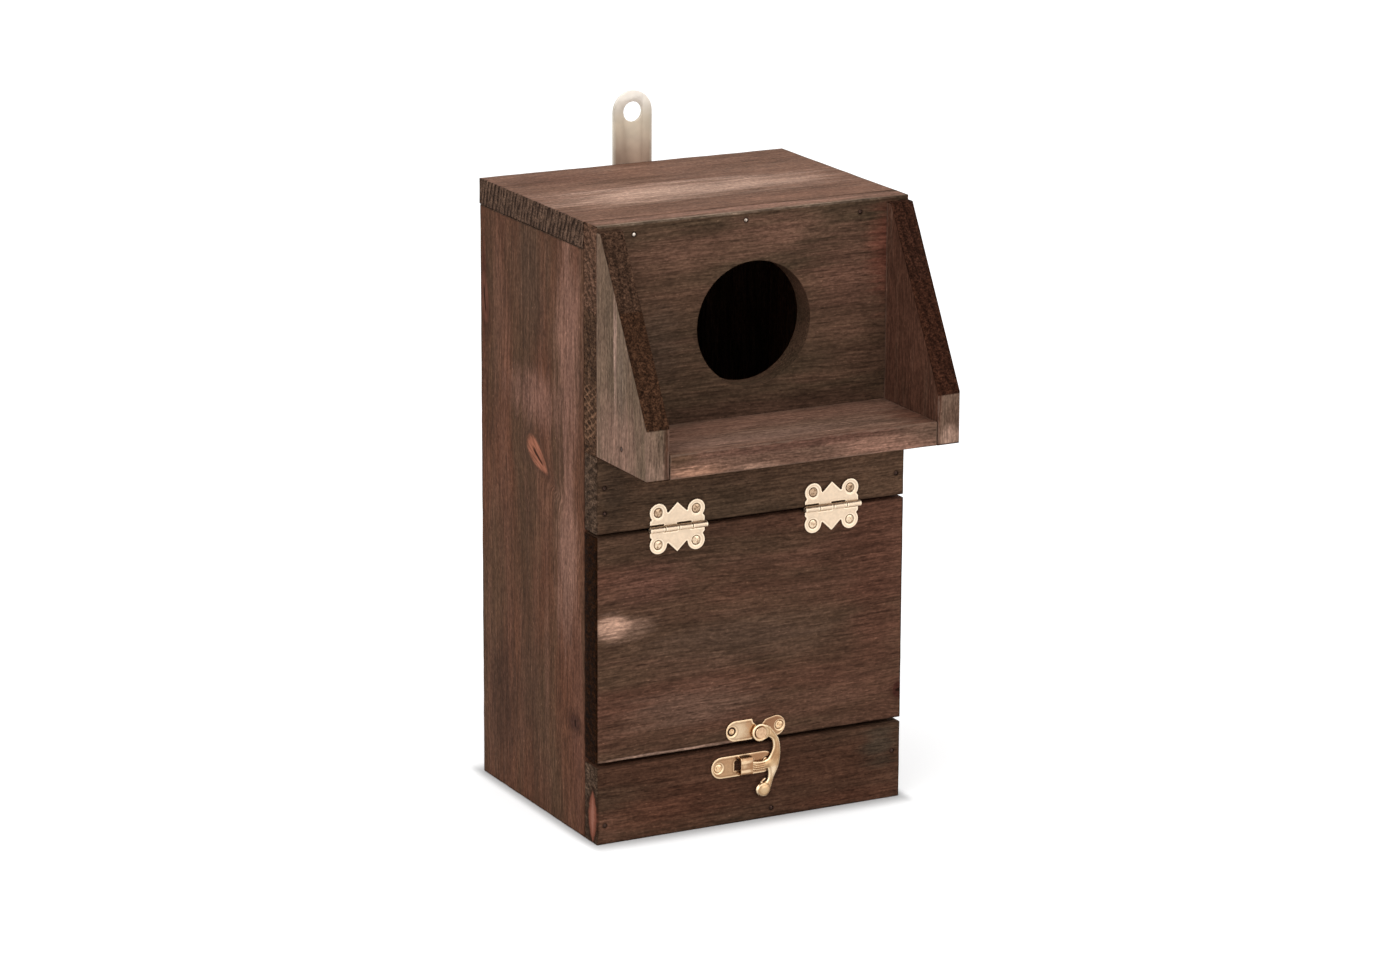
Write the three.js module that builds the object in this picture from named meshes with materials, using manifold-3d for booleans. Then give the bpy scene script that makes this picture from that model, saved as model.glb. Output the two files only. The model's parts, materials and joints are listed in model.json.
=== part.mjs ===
// Bird nest box of stained pine, with a walled balcony under its entry hole, a hinged clean-out
// door low on the front, a swing hook that latches the door, and a steel strap to hang it by.
// Millimetres, +Z up. The front faces -Y, and the origin is under the middle of the whole object.
import * as THREE from 'three';
import { mergeVertices } from 'three/addons/utils/BufferGeometryUtils.js';
import Module from 'manifold-3d';

const wasm = await Module();
wasm.setup();

// Driving dimensions of the carcase
const boxWidth = 154;
const boxDepth = 118;
const boardThickness = 12;
const edgeEase = 0.5;
const roofProud = 0.4;

// The front, from the ground up: bottom rail, door, hinge rail, and the front panel above them
const bottomRailHeight = 36;
const doorBottomGap = 1.8;
const doorHeight = 103.7;
const doorTopGap = 1.2;
const hingeRailHeight = 35;
const frontPanelHeight = 102.3;

// Entry hole in the front panel
const entryRadius = 28;
const entryDrop = 50.4;

// Balcony: two slanted wings with a shelf between them
const balconyDepth = 48;
const balconyThickness = 11;
const wingNoseHeight = 23.5;
const wingTopDepth = 4;
const wingTopDrop = 2;

// Steel hanging strap, screwed to the back panel
const strapWidth = 19.5;
const strapThickness = 1.5;
const strapRise = 33.2;
const strapTail = 58;
const strapEyeRadius = 4.75;
const strapScrewEdge = 9;
const strapScrewSpacing = 24;

// Butterfly hinges: each leaf has two screw lobes with a point between them
const leftHingeInset = 39.4;
const rightHingeInset = 37.3;
const leafWidth = 27;
const leafThickness = 0.7;
const leafTip = 11.3;
const lobeRadius = 4.25;
const lobeAcross = 9.35;
const lobeUp = 7.3;
const notchAcross = 4.6;
const notchUp = 6.9;
const earHeight = 3.4;
const earAngle = 222;

// Hinge barrel: four knuckles on one pin, the two middle ones shorter
const barrelLength = 28.5;
const middleKnuckleLength = 6.75;
const knuckleRadius = 1.4;
const knuckleGap = 0.3;
const knuckleStandoff = 0.2;
const slotGap = 1;
const pinRadius = 0.6;
const pinClearance = 0.22;

// Latch plate on the door, with the boss that the hook turns on
const latchPlateLength = 30;
const latchPlateHeight = 9.6;
const latchPlateThickness = 0.8;
const latchPlateX = 2.1;
const latchPlateUp = 5.6;
const latchScrewSpacing = 24;
const waistRadius = 3.4;
const shoulderReach = 8.5;
const shoulderAngle = 12;
const bossRadius = 3.4;
const bossHeight = 0.4;
const pivotX = 3.7;
const pivotUp = 3.9;

// Swing hook, measured from its pivot: across to the right, and down
const hookThickness = 1.5;
const hookReach = 10.5;
const hookDrop = 30.5;
const hookEase = 0.4;
const eyeRadius = 4.2;
const fingerRadius = 13.6;
const fingerHeight = 4.3;
const fingerTipAngle = 13;
const fingerGrooves = 3;
const grooveWidth = 0.5;
const grooveDepth = 0.3;
const tabHalfWidth = 3.85;
const tabHalfHeight = 3.4;
const tabAcross = 1.95;
const tabDomeRadius = 2.9;
const tabDomeHeight = 0.7;
const hookGap = 0.2;

// Rivet that carries the hook
const rivetHeadRadius = 2.9;
const rivetHeadHeight = 0.9;
const rivetRadius = 1.5;
const rivetLength = 10;
const rivetClearance = 0.25;

// Catch plate on the bottom rail: a window bridged by the loop that the finger slides under
const catchLength = 31.5;
const catchHeight = 10;
const catchThickness = 0.8;
const catchUnderFinger = 0.6;
const catchScrewSpacing = 24.3;
const loopOffset = 0.8;
const loopWidth = 6.1;
const loopWall = 0.8;
const loopPlay = 1.35;
const loopCornerRadius = 1.7;
const loopClearance = 0.3;
const windowWidth = 9.6;
const windowHeight = 4.3;
const fingerTipGap = 0.3;

// Countersunk screws for the brass, and pan-head screws for the strap
const screwHeadRadius = 2.25;
const screwRadius = 1;
const screwLength = 9;
const screwDome = 0.2;
const panHeadRadius = 3.2;
const panHeadHeight = 1.6;
const panScrewRadius = 1.4;
const panScrewLength = 10;
const screwClearance = 0.25;

// Wire nails, their heads driven just under the surface
const nailHeadRadius = 1.1;
const nailHeadThickness = 0.5;
const nailRadius = 0.6;
const nailLength = 22;
const nailSink = 0.2;
const nailClearance = 0.25;
const sideNailInset = 4.1;

// One overrun for every cut, and how finely the round shapes are stepped
const overrun = 1;
const holeSides = 48;
const knuckleSides = 16;
const screwSides = 12;
const nailSides = 8;
const curveSteps = 8;
const hookSteps = 6;
const domeSteps = 4;

// Places of the nails. Top row: across as a share of the width, down as a share of the roof board
const topNailShares = [[-0.381, 0.43], [-0.027, 0.33], [0.343, 0.47]];
// Hinge rail: which side, and up as a share of the rail
const hingeRailNailShares = [[-1, 0.594], [-1, 0.266], [1, 0.294]];
// Bottom rail: which side, and up as a share of the rail; the last goes into the floor
const bottomRailNailShares = [[-1, 0.244], [1, 0.62]];
const floorNailAcrossShare = 0.07;
const floorNailUpShare = 0.36;
const wingNailUpShare = 0.86;

// Heights of the seams
const doorBottom = bottomRailHeight + doorBottomGap;
const doorTop = doorBottom + doorHeight;
const hingeRailBottom = doorTop + doorTopGap;
const frontPanelBottom = hingeRailBottom + hingeRailHeight;
const boxHeight = frontPanelBottom + frontPanelHeight;
const roofBottom = boxHeight - boardThickness;
const halfWidth = boxWidth / 2;
const innerWidth = boxWidth - 2 * boardThickness;
const innerDepth = boxDepth - 2 * boardThickness;

// Materials: the boards differ a little in stain, the fittings are brass, and the strap is steel
const finishes = {
  roof: { color: 0x765548, roughness: 0.8, metalness: 0 },
  side: { color: 0x5a4035, roughness: 0.8, metalness: 0 },
  front: { color: 0x4b3126, roughness: 0.8, metalness: 0 },
  rail: { color: 0x42302a, roughness: 0.8, metalness: 0 },
  hidden: { color: 0x60473a, roughness: 0.85, metalness: 0 },
  brass: { color: 0xe8d3a8, roughness: 0.35, metalness: 0.9 },
  latch: { color: 0xc9a15f, roughness: 0.35, metalness: 0.9 },
  steel: { color: 0xb8ab99, roughness: 0.4, metalness: 0.9 },
  nail: { color: 0x6f655c, roughness: 0.5, metalness: 0.8 },
};

// Lets a shape's own axes stand for the object's: out of the front, out of the back, or along X
const outOfFront = new THREE.Matrix4().makeBasis(
  new THREE.Vector3(1, 0, 0), new THREE.Vector3(0, 0, 1), new THREE.Vector3(0, -1, 0));
const outOfBack = new THREE.Matrix4().makeBasis(
  new THREE.Vector3(-1, 0, 0), new THREE.Vector3(0, 0, 1), new THREE.Vector3(0, 1, 0));
const alongX = new THREE.Matrix4().makeBasis(
  new THREE.Vector3(0, 1, 0), new THREE.Vector3(0, 0, 1), new THREE.Vector3(1, 0, 0));

// A closed solid from a geometry whose seams are merged and whose collapsed faces are dropped
function solid(geometry) {
  const bare = geometry.clone();
  bare.deleteAttribute('normal');
  bare.deleteAttribute('uv');
  const merged = mergeVertices(bare);
  const corners = merged.index.array;
  const faces = [];
  for (let i = 0; i < corners.length; i += 3) {
    const [a, b, c] = [corners[i], corners[i + 1], corners[i + 2]];
    if (a !== b && b !== c && c !== a) faces.push(a, b, c);
  }
  return new wasm.Manifold(new wasm.Mesh({
    numProp: 3,
    vertProperties: new Float32Array(merged.attributes.position.array),
    triVerts: new Uint32Array(faces),
  }));
}

function geometryOf(body) {
  const mesh = body.getMesh();
  const geometry = new THREE.BufferGeometry();
  geometry.setAttribute('position', new THREE.BufferAttribute(mesh.vertProperties, 3));
  geometry.setIndex(new THREE.BufferAttribute(mesh.triVerts, 1));
  geometry.computeVertexNormals();
  return geometry;
}

const assembly = new THREE.Group();
const bores = [];

// Adds a named piece, after the fasteners that go through it have cut their holes in it
function piece(name, body, finish) {
  let cut = body;
  for (const bore of bores) {
    if (bore.through.includes(name)) cut = cut.subtract(bore.body);
  }
  const mesh = new THREE.Mesh(geometryOf(cut), new THREE.MeshStandardMaterial(finishes[finish]));
  mesh.name = name;
  assembly.add(mesh);
}

// A board with eased edges, from its lowest corner to its highest
function board(low, high) {
  const size = high.map((value, axis) => value - low[axis] - 2 * edgeEase);
  const face = new THREE.Shape();
  face.moveTo(0, 0);
  face.lineTo(size[0], 0);
  face.lineTo(size[0], size[1]);
  face.lineTo(0, size[1]);
  const geometry = new THREE.ExtrudeGeometry(face, {
    depth: size[2], bevelThickness: edgeEase, bevelSize: edgeEase, bevelSegments: 1,
  });
  geometry.translate(low[0] + edgeEase, low[1] + edgeEase, low[2] + edgeEase);
  return solid(geometry);
}

// A plain block between two corners, for cuts
function block(low, high) {
  const size = high.map((value, axis) => value - low[axis]);
  const middle = high.map((value, axis) => (value + low[axis]) / 2);
  return solid(new THREE.BoxGeometry(...size).translate(...middle));
}

// A flat plate cut to an outline, standing off a face by its thickness
function plate(outline, thickness, options = {}) {
  return new THREE.ExtrudeGeometry(outline, {
    depth: thickness, bevelEnabled: false, curveSegments: curveSteps, ...options,
  });
}

function cylinder(radius, length, sides) {
  return new THREE.CylinderGeometry(radius, radius, length, sides);
}

const radians = THREE.MathUtils.degToRad;

// Fasteners are turned shapes, with Y along their axis and zero at the surface that they hold
const turned = (points, sides) => new THREE.LatheGeometry(
  points.map(([radius, height]) => new THREE.Vector2(radius, height)), sides);

const countersunkScrew = () => {
  const cone = screwHeadRadius - screwRadius;
  return turned([
    [0, -screwLength], [screwRadius, -screwLength + 2 * screwRadius], [screwRadius, -cone],
    [screwHeadRadius, 0], [screwHeadRadius / 2, screwDome], [0, screwDome],
  ], screwSides);
};

const countersunkHole = () => {
  const cone = screwHeadRadius - screwRadius;
  const wide = screwHeadRadius + screwClearance;
  const narrow = screwRadius + screwClearance;
  return turned([
    [0, -screwLength - screwClearance], [narrow, -screwLength - screwClearance], [narrow, -cone],
    [wide, 0], [wide, overrun], [0, overrun],
  ], screwSides);
};

const panScrew = () => turned([
  [0, -panScrewLength], [panScrewRadius, -panScrewLength + 2 * panScrewRadius],
  [panScrewRadius, 0], [panHeadRadius, 0], [panHeadRadius, panHeadHeight / 2],
  [panHeadRadius / 2, panHeadHeight], [0, panHeadHeight],
], screwSides);

const panHole = () => {
  const radius = panScrewRadius + screwClearance;
  const bottom = -panScrewLength - screwClearance;
  return turned([[0, bottom], [radius, bottom], [radius, overrun], [0, overrun]], screwSides);
};

const nail = () => turned([
  [0, -nailLength], [nailRadius, -nailLength + 2 * nailRadius],
  [nailRadius, -nailSink - nailHeadThickness], [nailHeadRadius, -nailSink - nailHeadThickness],
  [nailHeadRadius, -nailSink], [0, -nailSink],
], nailSides);

const nailHole = () => {
  const shoulder = -nailSink - nailHeadThickness - nailClearance;
  const wide = nailHeadRadius + nailClearance;
  const narrow = nailRadius + nailClearance;
  return turned([
    [0, -nailLength - nailClearance], [narrow, -nailLength - nailClearance], [narrow, shoulder],
    [wide, shoulder], [wide, overrun], [0, overrun],
  ], nailSides);
};

const rivetSeat = latchPlateThickness + bossHeight + hookThickness + 2 * hookGap;

// The rivet's zero is the door's face, so its head stands off by plate, boss and hook
const rivet = () => turned([
  [0, rivetSeat - rivetLength], [rivetRadius, rivetSeat - rivetLength], [rivetRadius, rivetSeat],
  [rivetHeadRadius, rivetSeat], [rivetHeadRadius, rivetSeat + rivetHeadHeight / 2],
  [rivetHeadRadius / 2, rivetSeat + rivetHeadHeight], [0, rivetSeat + rivetHeadHeight],
], screwSides);

const rivetHole = () => {
  const radius = rivetRadius + rivetClearance;
  const bottom = rivetSeat - rivetLength - rivetClearance;
  return turned([[0, bottom], [radius, bottom], [radius, rivetSeat + overrun],
    [0, rivetSeat + overrun]], screwSides);
};

const kinds = {
  screw: { shape: countersunkScrew, hole: countersunkHole },
  panScrew: { shape: panScrew, hole: panHole },
  nail: { shape: nail, hole: nailHole },
  rivet: { shape: rivet, hole: rivetHole },
};

const fasteners = [];

// Sets a fastener at a point with its head facing a direction, and bores the pieces it goes through
function fasten(name, kind, point, facing, finish, through) {
  const turn = new THREE.Quaternion().setFromUnitVectors(
    new THREE.Vector3(0, 1, 0), new THREE.Vector3(...facing));
  const place = (geometry) => solid(geometry.applyQuaternion(turn).translate(...point));
  fasteners.push({ name, finish, body: place(kinds[kind].shape()) });
  bores.push({ through, body: place(kinds[kind].hole()) });
}

const front = [0, -1, 0];
const back = [0, 1, 0];

// Where the nails, screws and the rivet go
topNailShares.forEach(([across, down], i) => fasten(`roof_nail_${i + 1}`, 'nail',
  [across * boxWidth, 0, boxHeight - down * boardThickness], front, 'nail',
  ['front_panel', 'roof_panel']));

hingeRailNailShares.forEach(([side, up], i) => fasten(`hinge_rail_nail_${i + 1}`, 'nail',
  [side * (halfWidth - sideNailInset), 0, hingeRailBottom + up * hingeRailHeight], front, 'nail',
  ['hinge_rail', 'left_side_panel', 'right_side_panel']));

bottomRailNailShares.forEach(([side, up], i) => fasten(`bottom_rail_nail_${i + 1}`, 'nail',
  [side * (halfWidth - sideNailInset), 0, up * bottomRailHeight], front, 'nail',
  ['bottom_rail', 'left_side_panel', 'right_side_panel']));

fasten('floor_nail', 'nail',
  [floorNailAcrossShare * boxWidth, 0, floorNailUpShare * boardThickness], front, 'nail',
  ['bottom_rail', 'floor_panel']);

for (const [side, sign] of [['left', -1], ['right', 1]]) {
  fasten(`${side}_wing_nail`, 'nail',
    [sign * halfWidth, -balconyDepth / 2, frontPanelBottom + wingNailUpShare * balconyThickness],
    [sign, 0, 0], 'nail', [`balcony_${side}_wing`, 'balcony_shelf']);
}

const strapTop = boxHeight + strapRise;
const strapBottom = boxHeight - strapTail;
for (const [place, up] of [['lower', 0], ['upper', strapScrewSpacing]]) {
  fasten(`hanger_screw_${place}`, 'panScrew',
    [0, boxDepth + strapThickness, strapBottom + strapScrewEdge + up], back, 'steel',
    ['hanger_strap', 'back_panel']);
}

const hingeAxisY = -knuckleStandoff - knuckleRadius;
const hingeAxisZ = (doorTop + hingeRailBottom) / 2;
const hinges = [['left', leftHingeInset - halfWidth], ['right', halfWidth - rightHingeInset]];
for (const [side, x] of hinges) {
  for (const [level, up, carrier] of [['upper', 1, 'hinge_rail'], ['lower', -1, 'door_panel']]) {
    for (const [hand, across] of [['left', -1], ['right', 1]]) {
      fasten(`${side}_hinge_${level}_${hand}_screw`, 'screw',
        [x + across * lobeAcross, -leafThickness, hingeAxisZ + up * lobeUp], front, 'brass',
        [`${side}_hinge_${level}_leaf`, carrier]);
    }
  }
}

const latchPlateZ = doorBottom + latchPlateUp;
const pivotZ = doorBottom + pivotUp;
const fingerTip = pivotX - (fingerRadius + fingerHeight) * Math.sin(radians(fingerTipAngle));
const loopX = fingerTip - fingerTipGap - loopWidth / 2;
const catchX = loopX - loopOffset;
const fingerDrop = Math.sqrt((fingerRadius + fingerHeight / 2) ** 2 - (pivotX - loopX) ** 2);
const catchZ = pivotZ - fingerDrop - catchUnderFinger;
for (const [hand, across] of [['left', -1], ['right', 1]]) {
  fasten(`latch_plate_${hand}_screw`, 'screw',
    [latchPlateX + across * latchScrewSpacing / 2, -latchPlateThickness, latchPlateZ], front,
    'latch', ['latch_plate', 'door_panel']);
  fasten(`catch_plate_${hand}_screw`, 'screw',
    [catchX + across * catchScrewSpacing / 2, -catchThickness, catchZ], front,
    'latch', ['catch_plate', 'bottom_rail']);
}

fasten('latch_rivet', 'rivet', [pivotX, 0, pivotZ], front, 'latch',
  ['latch_plate', 'latch_hook', 'door_panel']);

// Carcase: side panels, back and floor between them, and the roof on top
for (const [side, inner, outer] of [
  ['left', -halfWidth, -halfWidth + boardThickness], ['right', halfWidth - boardThickness, halfWidth]]) {
  piece(`${side}_side_panel`,
    board([inner, boardThickness, 0], [outer, boxDepth, roofBottom]), 'side');
}
piece('back_panel', board([-innerWidth / 2, boxDepth - boardThickness, 0],
  [innerWidth / 2, boxDepth, roofBottom]), 'hidden');
piece('floor_panel', board([-innerWidth / 2, boardThickness, 0],
  [innerWidth / 2, boardThickness + innerDepth, boardThickness]), 'hidden');
piece('roof_panel', board([-halfWidth - roofProud, boardThickness, roofBottom],
  [halfWidth + roofProud, boxDepth, boxHeight]), 'roof');

// Front boards, in front of the side panels' edges
piece('bottom_rail', board([-halfWidth, 0, 0], [halfWidth, boardThickness, bottomRailHeight]),
  'rail');
piece('door_panel', board([-halfWidth, 0, doorBottom], [halfWidth, boardThickness, doorTop]),
  'front');
piece('hinge_rail', board([-halfWidth, 0, hingeRailBottom],
  [halfWidth, boardThickness, frontPanelBottom]), 'rail');

const entryCut = solid(cylinder(entryRadius, boardThickness + 2 * overrun, holeSides)
  .translate(0, boardThickness / 2, boxHeight - entryDrop));
piece('front_panel', board([-halfWidth, 0, frontPanelBottom],
  [halfWidth, boardThickness, boxHeight]).subtract(entryCut), 'front');

// Balcony wing: flat at the top, a straight slant, then a short nose down to the shelf's level
function wing(low) {
  const span = balconyThickness - 2 * edgeEase;
  const outline = new THREE.Shape();
  outline.moveTo(-edgeEase, frontPanelBottom + edgeEase);
  outline.lineTo(-edgeEase, boxHeight - wingTopDrop - edgeEase);
  outline.lineTo(-wingTopDepth, boxHeight - wingTopDrop - edgeEase);
  outline.lineTo(edgeEase - balconyDepth, frontPanelBottom + wingNoseHeight - edgeEase);
  outline.lineTo(edgeEase - balconyDepth, frontPanelBottom + edgeEase);
  const geometry = new THREE.ExtrudeGeometry(outline, {
    depth: span, bevelThickness: edgeEase, bevelSize: edgeEase, bevelSegments: 1,
  });
  return solid(geometry.applyMatrix4(alongX).translate(low + edgeEase, 0, 0));
}
piece('balcony_left_wing', wing(-halfWidth), 'front');
piece('balcony_right_wing', wing(halfWidth - balconyThickness), 'front');
piece('balcony_shelf', board(
  [balconyThickness - halfWidth, -balconyDepth, frontPanelBottom],
  [halfWidth - balconyThickness, 0, frontPanelBottom + balconyThickness]), 'front');

// Hanging strap: round at both ends, with its eye at the middle of the upper round
function hangerStrap() {
  const radius = strapWidth / 2;
  const outline = new THREE.Shape();
  outline.absarc(0, strapTop - radius, radius, 0, Math.PI);
  outline.absarc(0, strapBottom + radius, radius, Math.PI, 2 * Math.PI);
  const eye = new THREE.Path();
  eye.absarc(0, strapTop - radius, strapEyeRadius, 0, 2 * Math.PI, true);
  outline.holes.push(eye);
  return plate(outline, strapThickness).applyMatrix4(outOfBack).translate(0, boxDepth, 0);
}
piece('hanger_strap', solid(hangerStrap()), 'steel');

// Hinge leaf's outline above the barrel's axis: ear, lobe, point, lobe, ear
function leafOutline() {
  const ear = radians(earAngle);
  const outline = new THREE.Shape();
  outline.moveTo(-leafWidth / 2, 0);
  outline.lineTo(-leafWidth / 2, earHeight);
  outline.absarc(-lobeAcross, lobeUp, lobeRadius, ear, 0, true);
  outline.lineTo(-notchAcross, notchUp);
  outline.lineTo(0, leafTip);
  outline.lineTo(notchAcross, notchUp);
  outline.absarc(lobeAcross, lobeUp, lobeRadius, Math.PI, Math.PI - ear, true);
  outline.lineTo(leafWidth / 2, earHeight);
  outline.lineTo(leafWidth / 2, 0);
  return outline;
}

// The four knuckles' spans along the barrel, from the left
const knuckleEnds = [-barrelLength / 2, -middleKnuckleLength, 0, middleKnuckleLength,
  barrelLength / 2];

// One leaf with its own two knuckles, slotted for the other leaf's two. Up is 1 or -1
function leaf(up, firstKnuckle) {
  const cheek = solid(plate(leafOutline(), leafThickness).applyMatrix4(outOfFront));
  let body = up > 0 ? cheek : cheek.mirror([0, 0, 1]);
  for (let i = 0; i < knuckleEnds.length - 1; i += 1) {
    const [start, end] = [knuckleEnds[i], knuckleEnds[i + 1]];
    if (i % 2 === firstKnuckle) {
      const length = end - start - knuckleGap;
      const knuckle = cylinder(knuckleRadius, length, knuckleSides).rotateZ(Math.PI / 2);
      body = body.add(solid(knuckle.translate((start + end) / 2, hingeAxisY, 0)));
    } else {
      const reach = knuckleRadius + slotGap;
      const half = knuckleGap / 2;
      body = body.subtract(block([start - half, -leafThickness - overrun, -reach],
        [end + half, overrun, reach]));
    }
  }
  const bore = cylinder(pinRadius + pinClearance, barrelLength + 2 * overrun, knuckleSides);
  return body.subtract(solid(bore.rotateZ(Math.PI / 2).translate(0, hingeAxisY, 0)));
}

for (const [side, x] of hinges) {
  piece(`${side}_hinge_upper_leaf`, leaf(1, 1).translate([x, 0, hingeAxisZ]), 'brass');
  piece(`${side}_hinge_lower_leaf`, leaf(-1, 0).translate([x, 0, hingeAxisZ]), 'brass');
  const pin = cylinder(pinRadius, barrelLength, knuckleSides).rotateZ(Math.PI / 2);
  piece(`${side}_hinge_pin`, solid(pin.translate(x, hingeAxisY, hingeAxisZ)), 'brass');
}

// A plate with round ends, laid along X
function roundEnded(length, height) {
  const radius = height / 2;
  const outline = new THREE.Shape();
  outline.absarc(length / 2 - radius, 0, radius, -Math.PI / 2, Math.PI / 2);
  outline.absarc(radius - length / 2, 0, radius, Math.PI / 2, 3 * Math.PI / 2);
  return outline;
}

// Latch plate: nipped in above and below the boss that carries the hook. Its right shoulder slopes
// down to the waist
function latchPlate() {
  const half = latchPlateHeight / 2;
  let body = solid(plate(roundEnded(latchPlateLength, latchPlateHeight), latchPlateThickness)
    .applyMatrix4(outOfFront).translate(latchPlateX, 0, latchPlateZ));
  for (const up of [-1, 1]) {
    body = body.subtract(solid(cylinder(waistRadius, 2 * latchPlateThickness + overrun, screwSides)
      .translate(pivotX, 0, latchPlateZ + up * half)));
  }
  const shoulder = block([-shoulderReach, -latchPlateThickness - overrun, 0],
    [0, overrun, latchPlateHeight]).rotate([0, -shoulderAngle, 0]);
  body = body.subtract(shoulder.translate(pivotX + shoulderReach, 0, latchPlateZ + half));
  const standing = latchPlateThickness + bossHeight;
  return body.add(solid(cylinder(bossRadius, standing, 2 * screwSides)
    .translate(pivotX, -standing / 2, pivotZ)));
}
piece('latch_plate', latchPlate(), 'latch');

// Swing hook. Its edges are smooth curves through shares of its reach and drop from the pivot
const outerEdgeShares = [[0.48, -0.07], [0.84, 0.09], [0.97, 0.21], [1, 0.37], [0.95, 0.505],
  [0.86, 0.605], [0.72, 0.7], [0.61, 0.8]];
const tailEdgeShares = [[0.355, 0.76], [0.405, 0.71], [0.41, 0.63]];
const throatEdgeShares = [[0.44, 0.405], [0.605, 0.295], [0.63, 0.216], [0.57, 0.138],
  [0.4, 0.095]];
const grooveShare = 0.75;
const tabStart = 5;
const tabEnd = 85;
const eyeStart = 300;
const eyeEnd = 55;
const forkAngle = 12.5;
const rootAngle = 10;

function hookOutline() {
  const spot = ([across, down]) => new THREE.Vector2(across * hookReach, -down * hookDrop);
  const fingerOuter = fingerRadius + fingerHeight;
  const tipX = fingerTip - pivotX;
  const tipAngle = (radius) => -Math.PI / 2 + Math.asin(tipX / radius);
  const tabZ = tabHalfHeight - hookDrop;
  const outline = new THREE.Shape();
  outline.absarc(0, 0, eyeRadius, radians(eyeStart), radians(eyeEnd), true);
  outline.splineThru(outerEdgeShares.map(spot));
  outline.absellipse(tabAcross, tabZ, tabHalfWidth, tabHalfHeight, radians(tabStart),
    radians(tabEnd), true);
  outline.splineThru(tailEdgeShares.map(spot));
  outline.absarc(0, 0, fingerOuter, radians(forkAngle) - Math.PI / 2, tipAngle(fingerOuter), true);
  outline.absarc(0, 0, fingerRadius, tipAngle(fingerRadius), radians(rootAngle) - Math.PI / 2);
  outline.splineThru(throatEdgeShares.map(spot));
  return outline;
}

// A groove along the finger, at a radius round the pivot
function fingerGroove(radius) {
  const middle = -Math.PI / 2;
  const tip = middle - radians(fingerTipAngle + grooveShare * fingerTipAngle);
  const root = middle + radians(forkAngle) * grooveShare;
  const outline = new THREE.Shape();
  outline.absarc(0, 0, radius + grooveWidth / 2, tip, root);
  outline.absarc(0, 0, radius - grooveWidth / 2, root, tip, true);
  return solid(plate(outline, grooveDepth + overrun).translate(0, 0, hookThickness - grooveDepth));
}

// The hook lies flat with its back at zero: an eased plate, a dome on the tab, grooves on the finger
function hook() {
  const flat = plate(hookOutline(), hookThickness - 2 * hookEase, {
    bevelEnabled: true, bevelThickness: hookEase, bevelSize: hookEase, bevelOffset: -hookEase,
    bevelSegments: 2, curveSegments: hookSteps,
  });
  const rise = [[0, -hookThickness / 2], [tabDomeRadius, -hookThickness / 2]];
  for (let i = 0; i <= domeSteps; i += 1) {
    const angle = i * Math.PI / 2 / domeSteps;
    rise.push([tabDomeRadius * Math.cos(angle), tabDomeHeight * Math.sin(angle)]);
  }
  const dome = turned(rise, 2 * screwSides).rotateX(Math.PI / 2);
  dome.scale(tabHalfWidth / tabHalfHeight, 1, 1);
  dome.translate(tabAcross, tabHalfHeight - hookDrop, hookThickness);
  let body = solid(flat.translate(0, 0, hookEase)).add(solid(dome));
  for (let i = 1; i <= fingerGrooves; i += 1) {
    body = body.subtract(fingerGroove(fingerRadius + fingerHeight * i / (fingerGrooves + 1)));
  }
  return body;
}

const hookBack = latchPlateThickness + bossHeight + hookGap;
const columns = outOfFront.clone().setPosition(pivotX, -hookBack, pivotZ).elements;
piece('latch_hook', hook().transform([...columns]), 'latch');

// Catch loop: a strip bent out of the plate, over the finger, and back in
function loopOutline(half, depth, radius) {
  const outline = new THREE.Shape();
  outline.moveTo(0, -half);
  outline.lineTo(radius - depth, -half);
  outline.absarc(radius - depth, radius - half, radius, -Math.PI / 2, -Math.PI, true);
  outline.absarc(radius - depth, half - radius, radius, Math.PI, Math.PI / 2, true);
  outline.lineTo(0, half);
  return outline;
}

function catchPlate() {
  const depth = hookBack + hookThickness + loopClearance + loopWall;
  const loopHeight = fingerHeight + 2 * (loopPlay + loopWall);
  const inner = loopCornerRadius - loopWall;
  const strip = (outline, width) => solid(plate(outline, width).applyMatrix4(alongX)
    .translate(-width / 2, 0, 0));
  const opening = block([-windowWidth / 2, -overrun - catchThickness, -windowHeight / 2],
    [windowWidth / 2, overrun, windowHeight / 2]);
  const outside = strip(loopOutline(loopHeight / 2, depth, loopCornerRadius), loopWidth);
  const inside = strip(loopOutline(loopHeight / 2 - loopWall, depth - loopWall, inner),
    loopWidth + 2 * overrun);
  const base = solid(plate(roundEnded(catchLength, catchHeight), catchThickness)
    .applyMatrix4(outOfFront).translate(-loopOffset, 0, 0));
  const clear = inside.subtract(block(
    [-catchLength, -catchThickness, -catchHeight], [catchLength, catchThickness, catchHeight]));
  return base.add(outside).subtract(clear).subtract(opening).translate([loopX, 0, catchZ]);
}
piece('catch_plate', catchPlate(), 'latch');

for (const { name, body, finish } of fasteners) piece(name, body, finish);

// The origin lies under the middle of the whole object, from the balcony's nose to the strap's screws
assembly.position.y = (balconyDepth - boxDepth - strapThickness - panHeadHeight) / 2;

export default assembly;
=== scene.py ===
import json
import math

import bpy
import numpy as np
from mathutils import Matrix, Vector, kdtree


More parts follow.
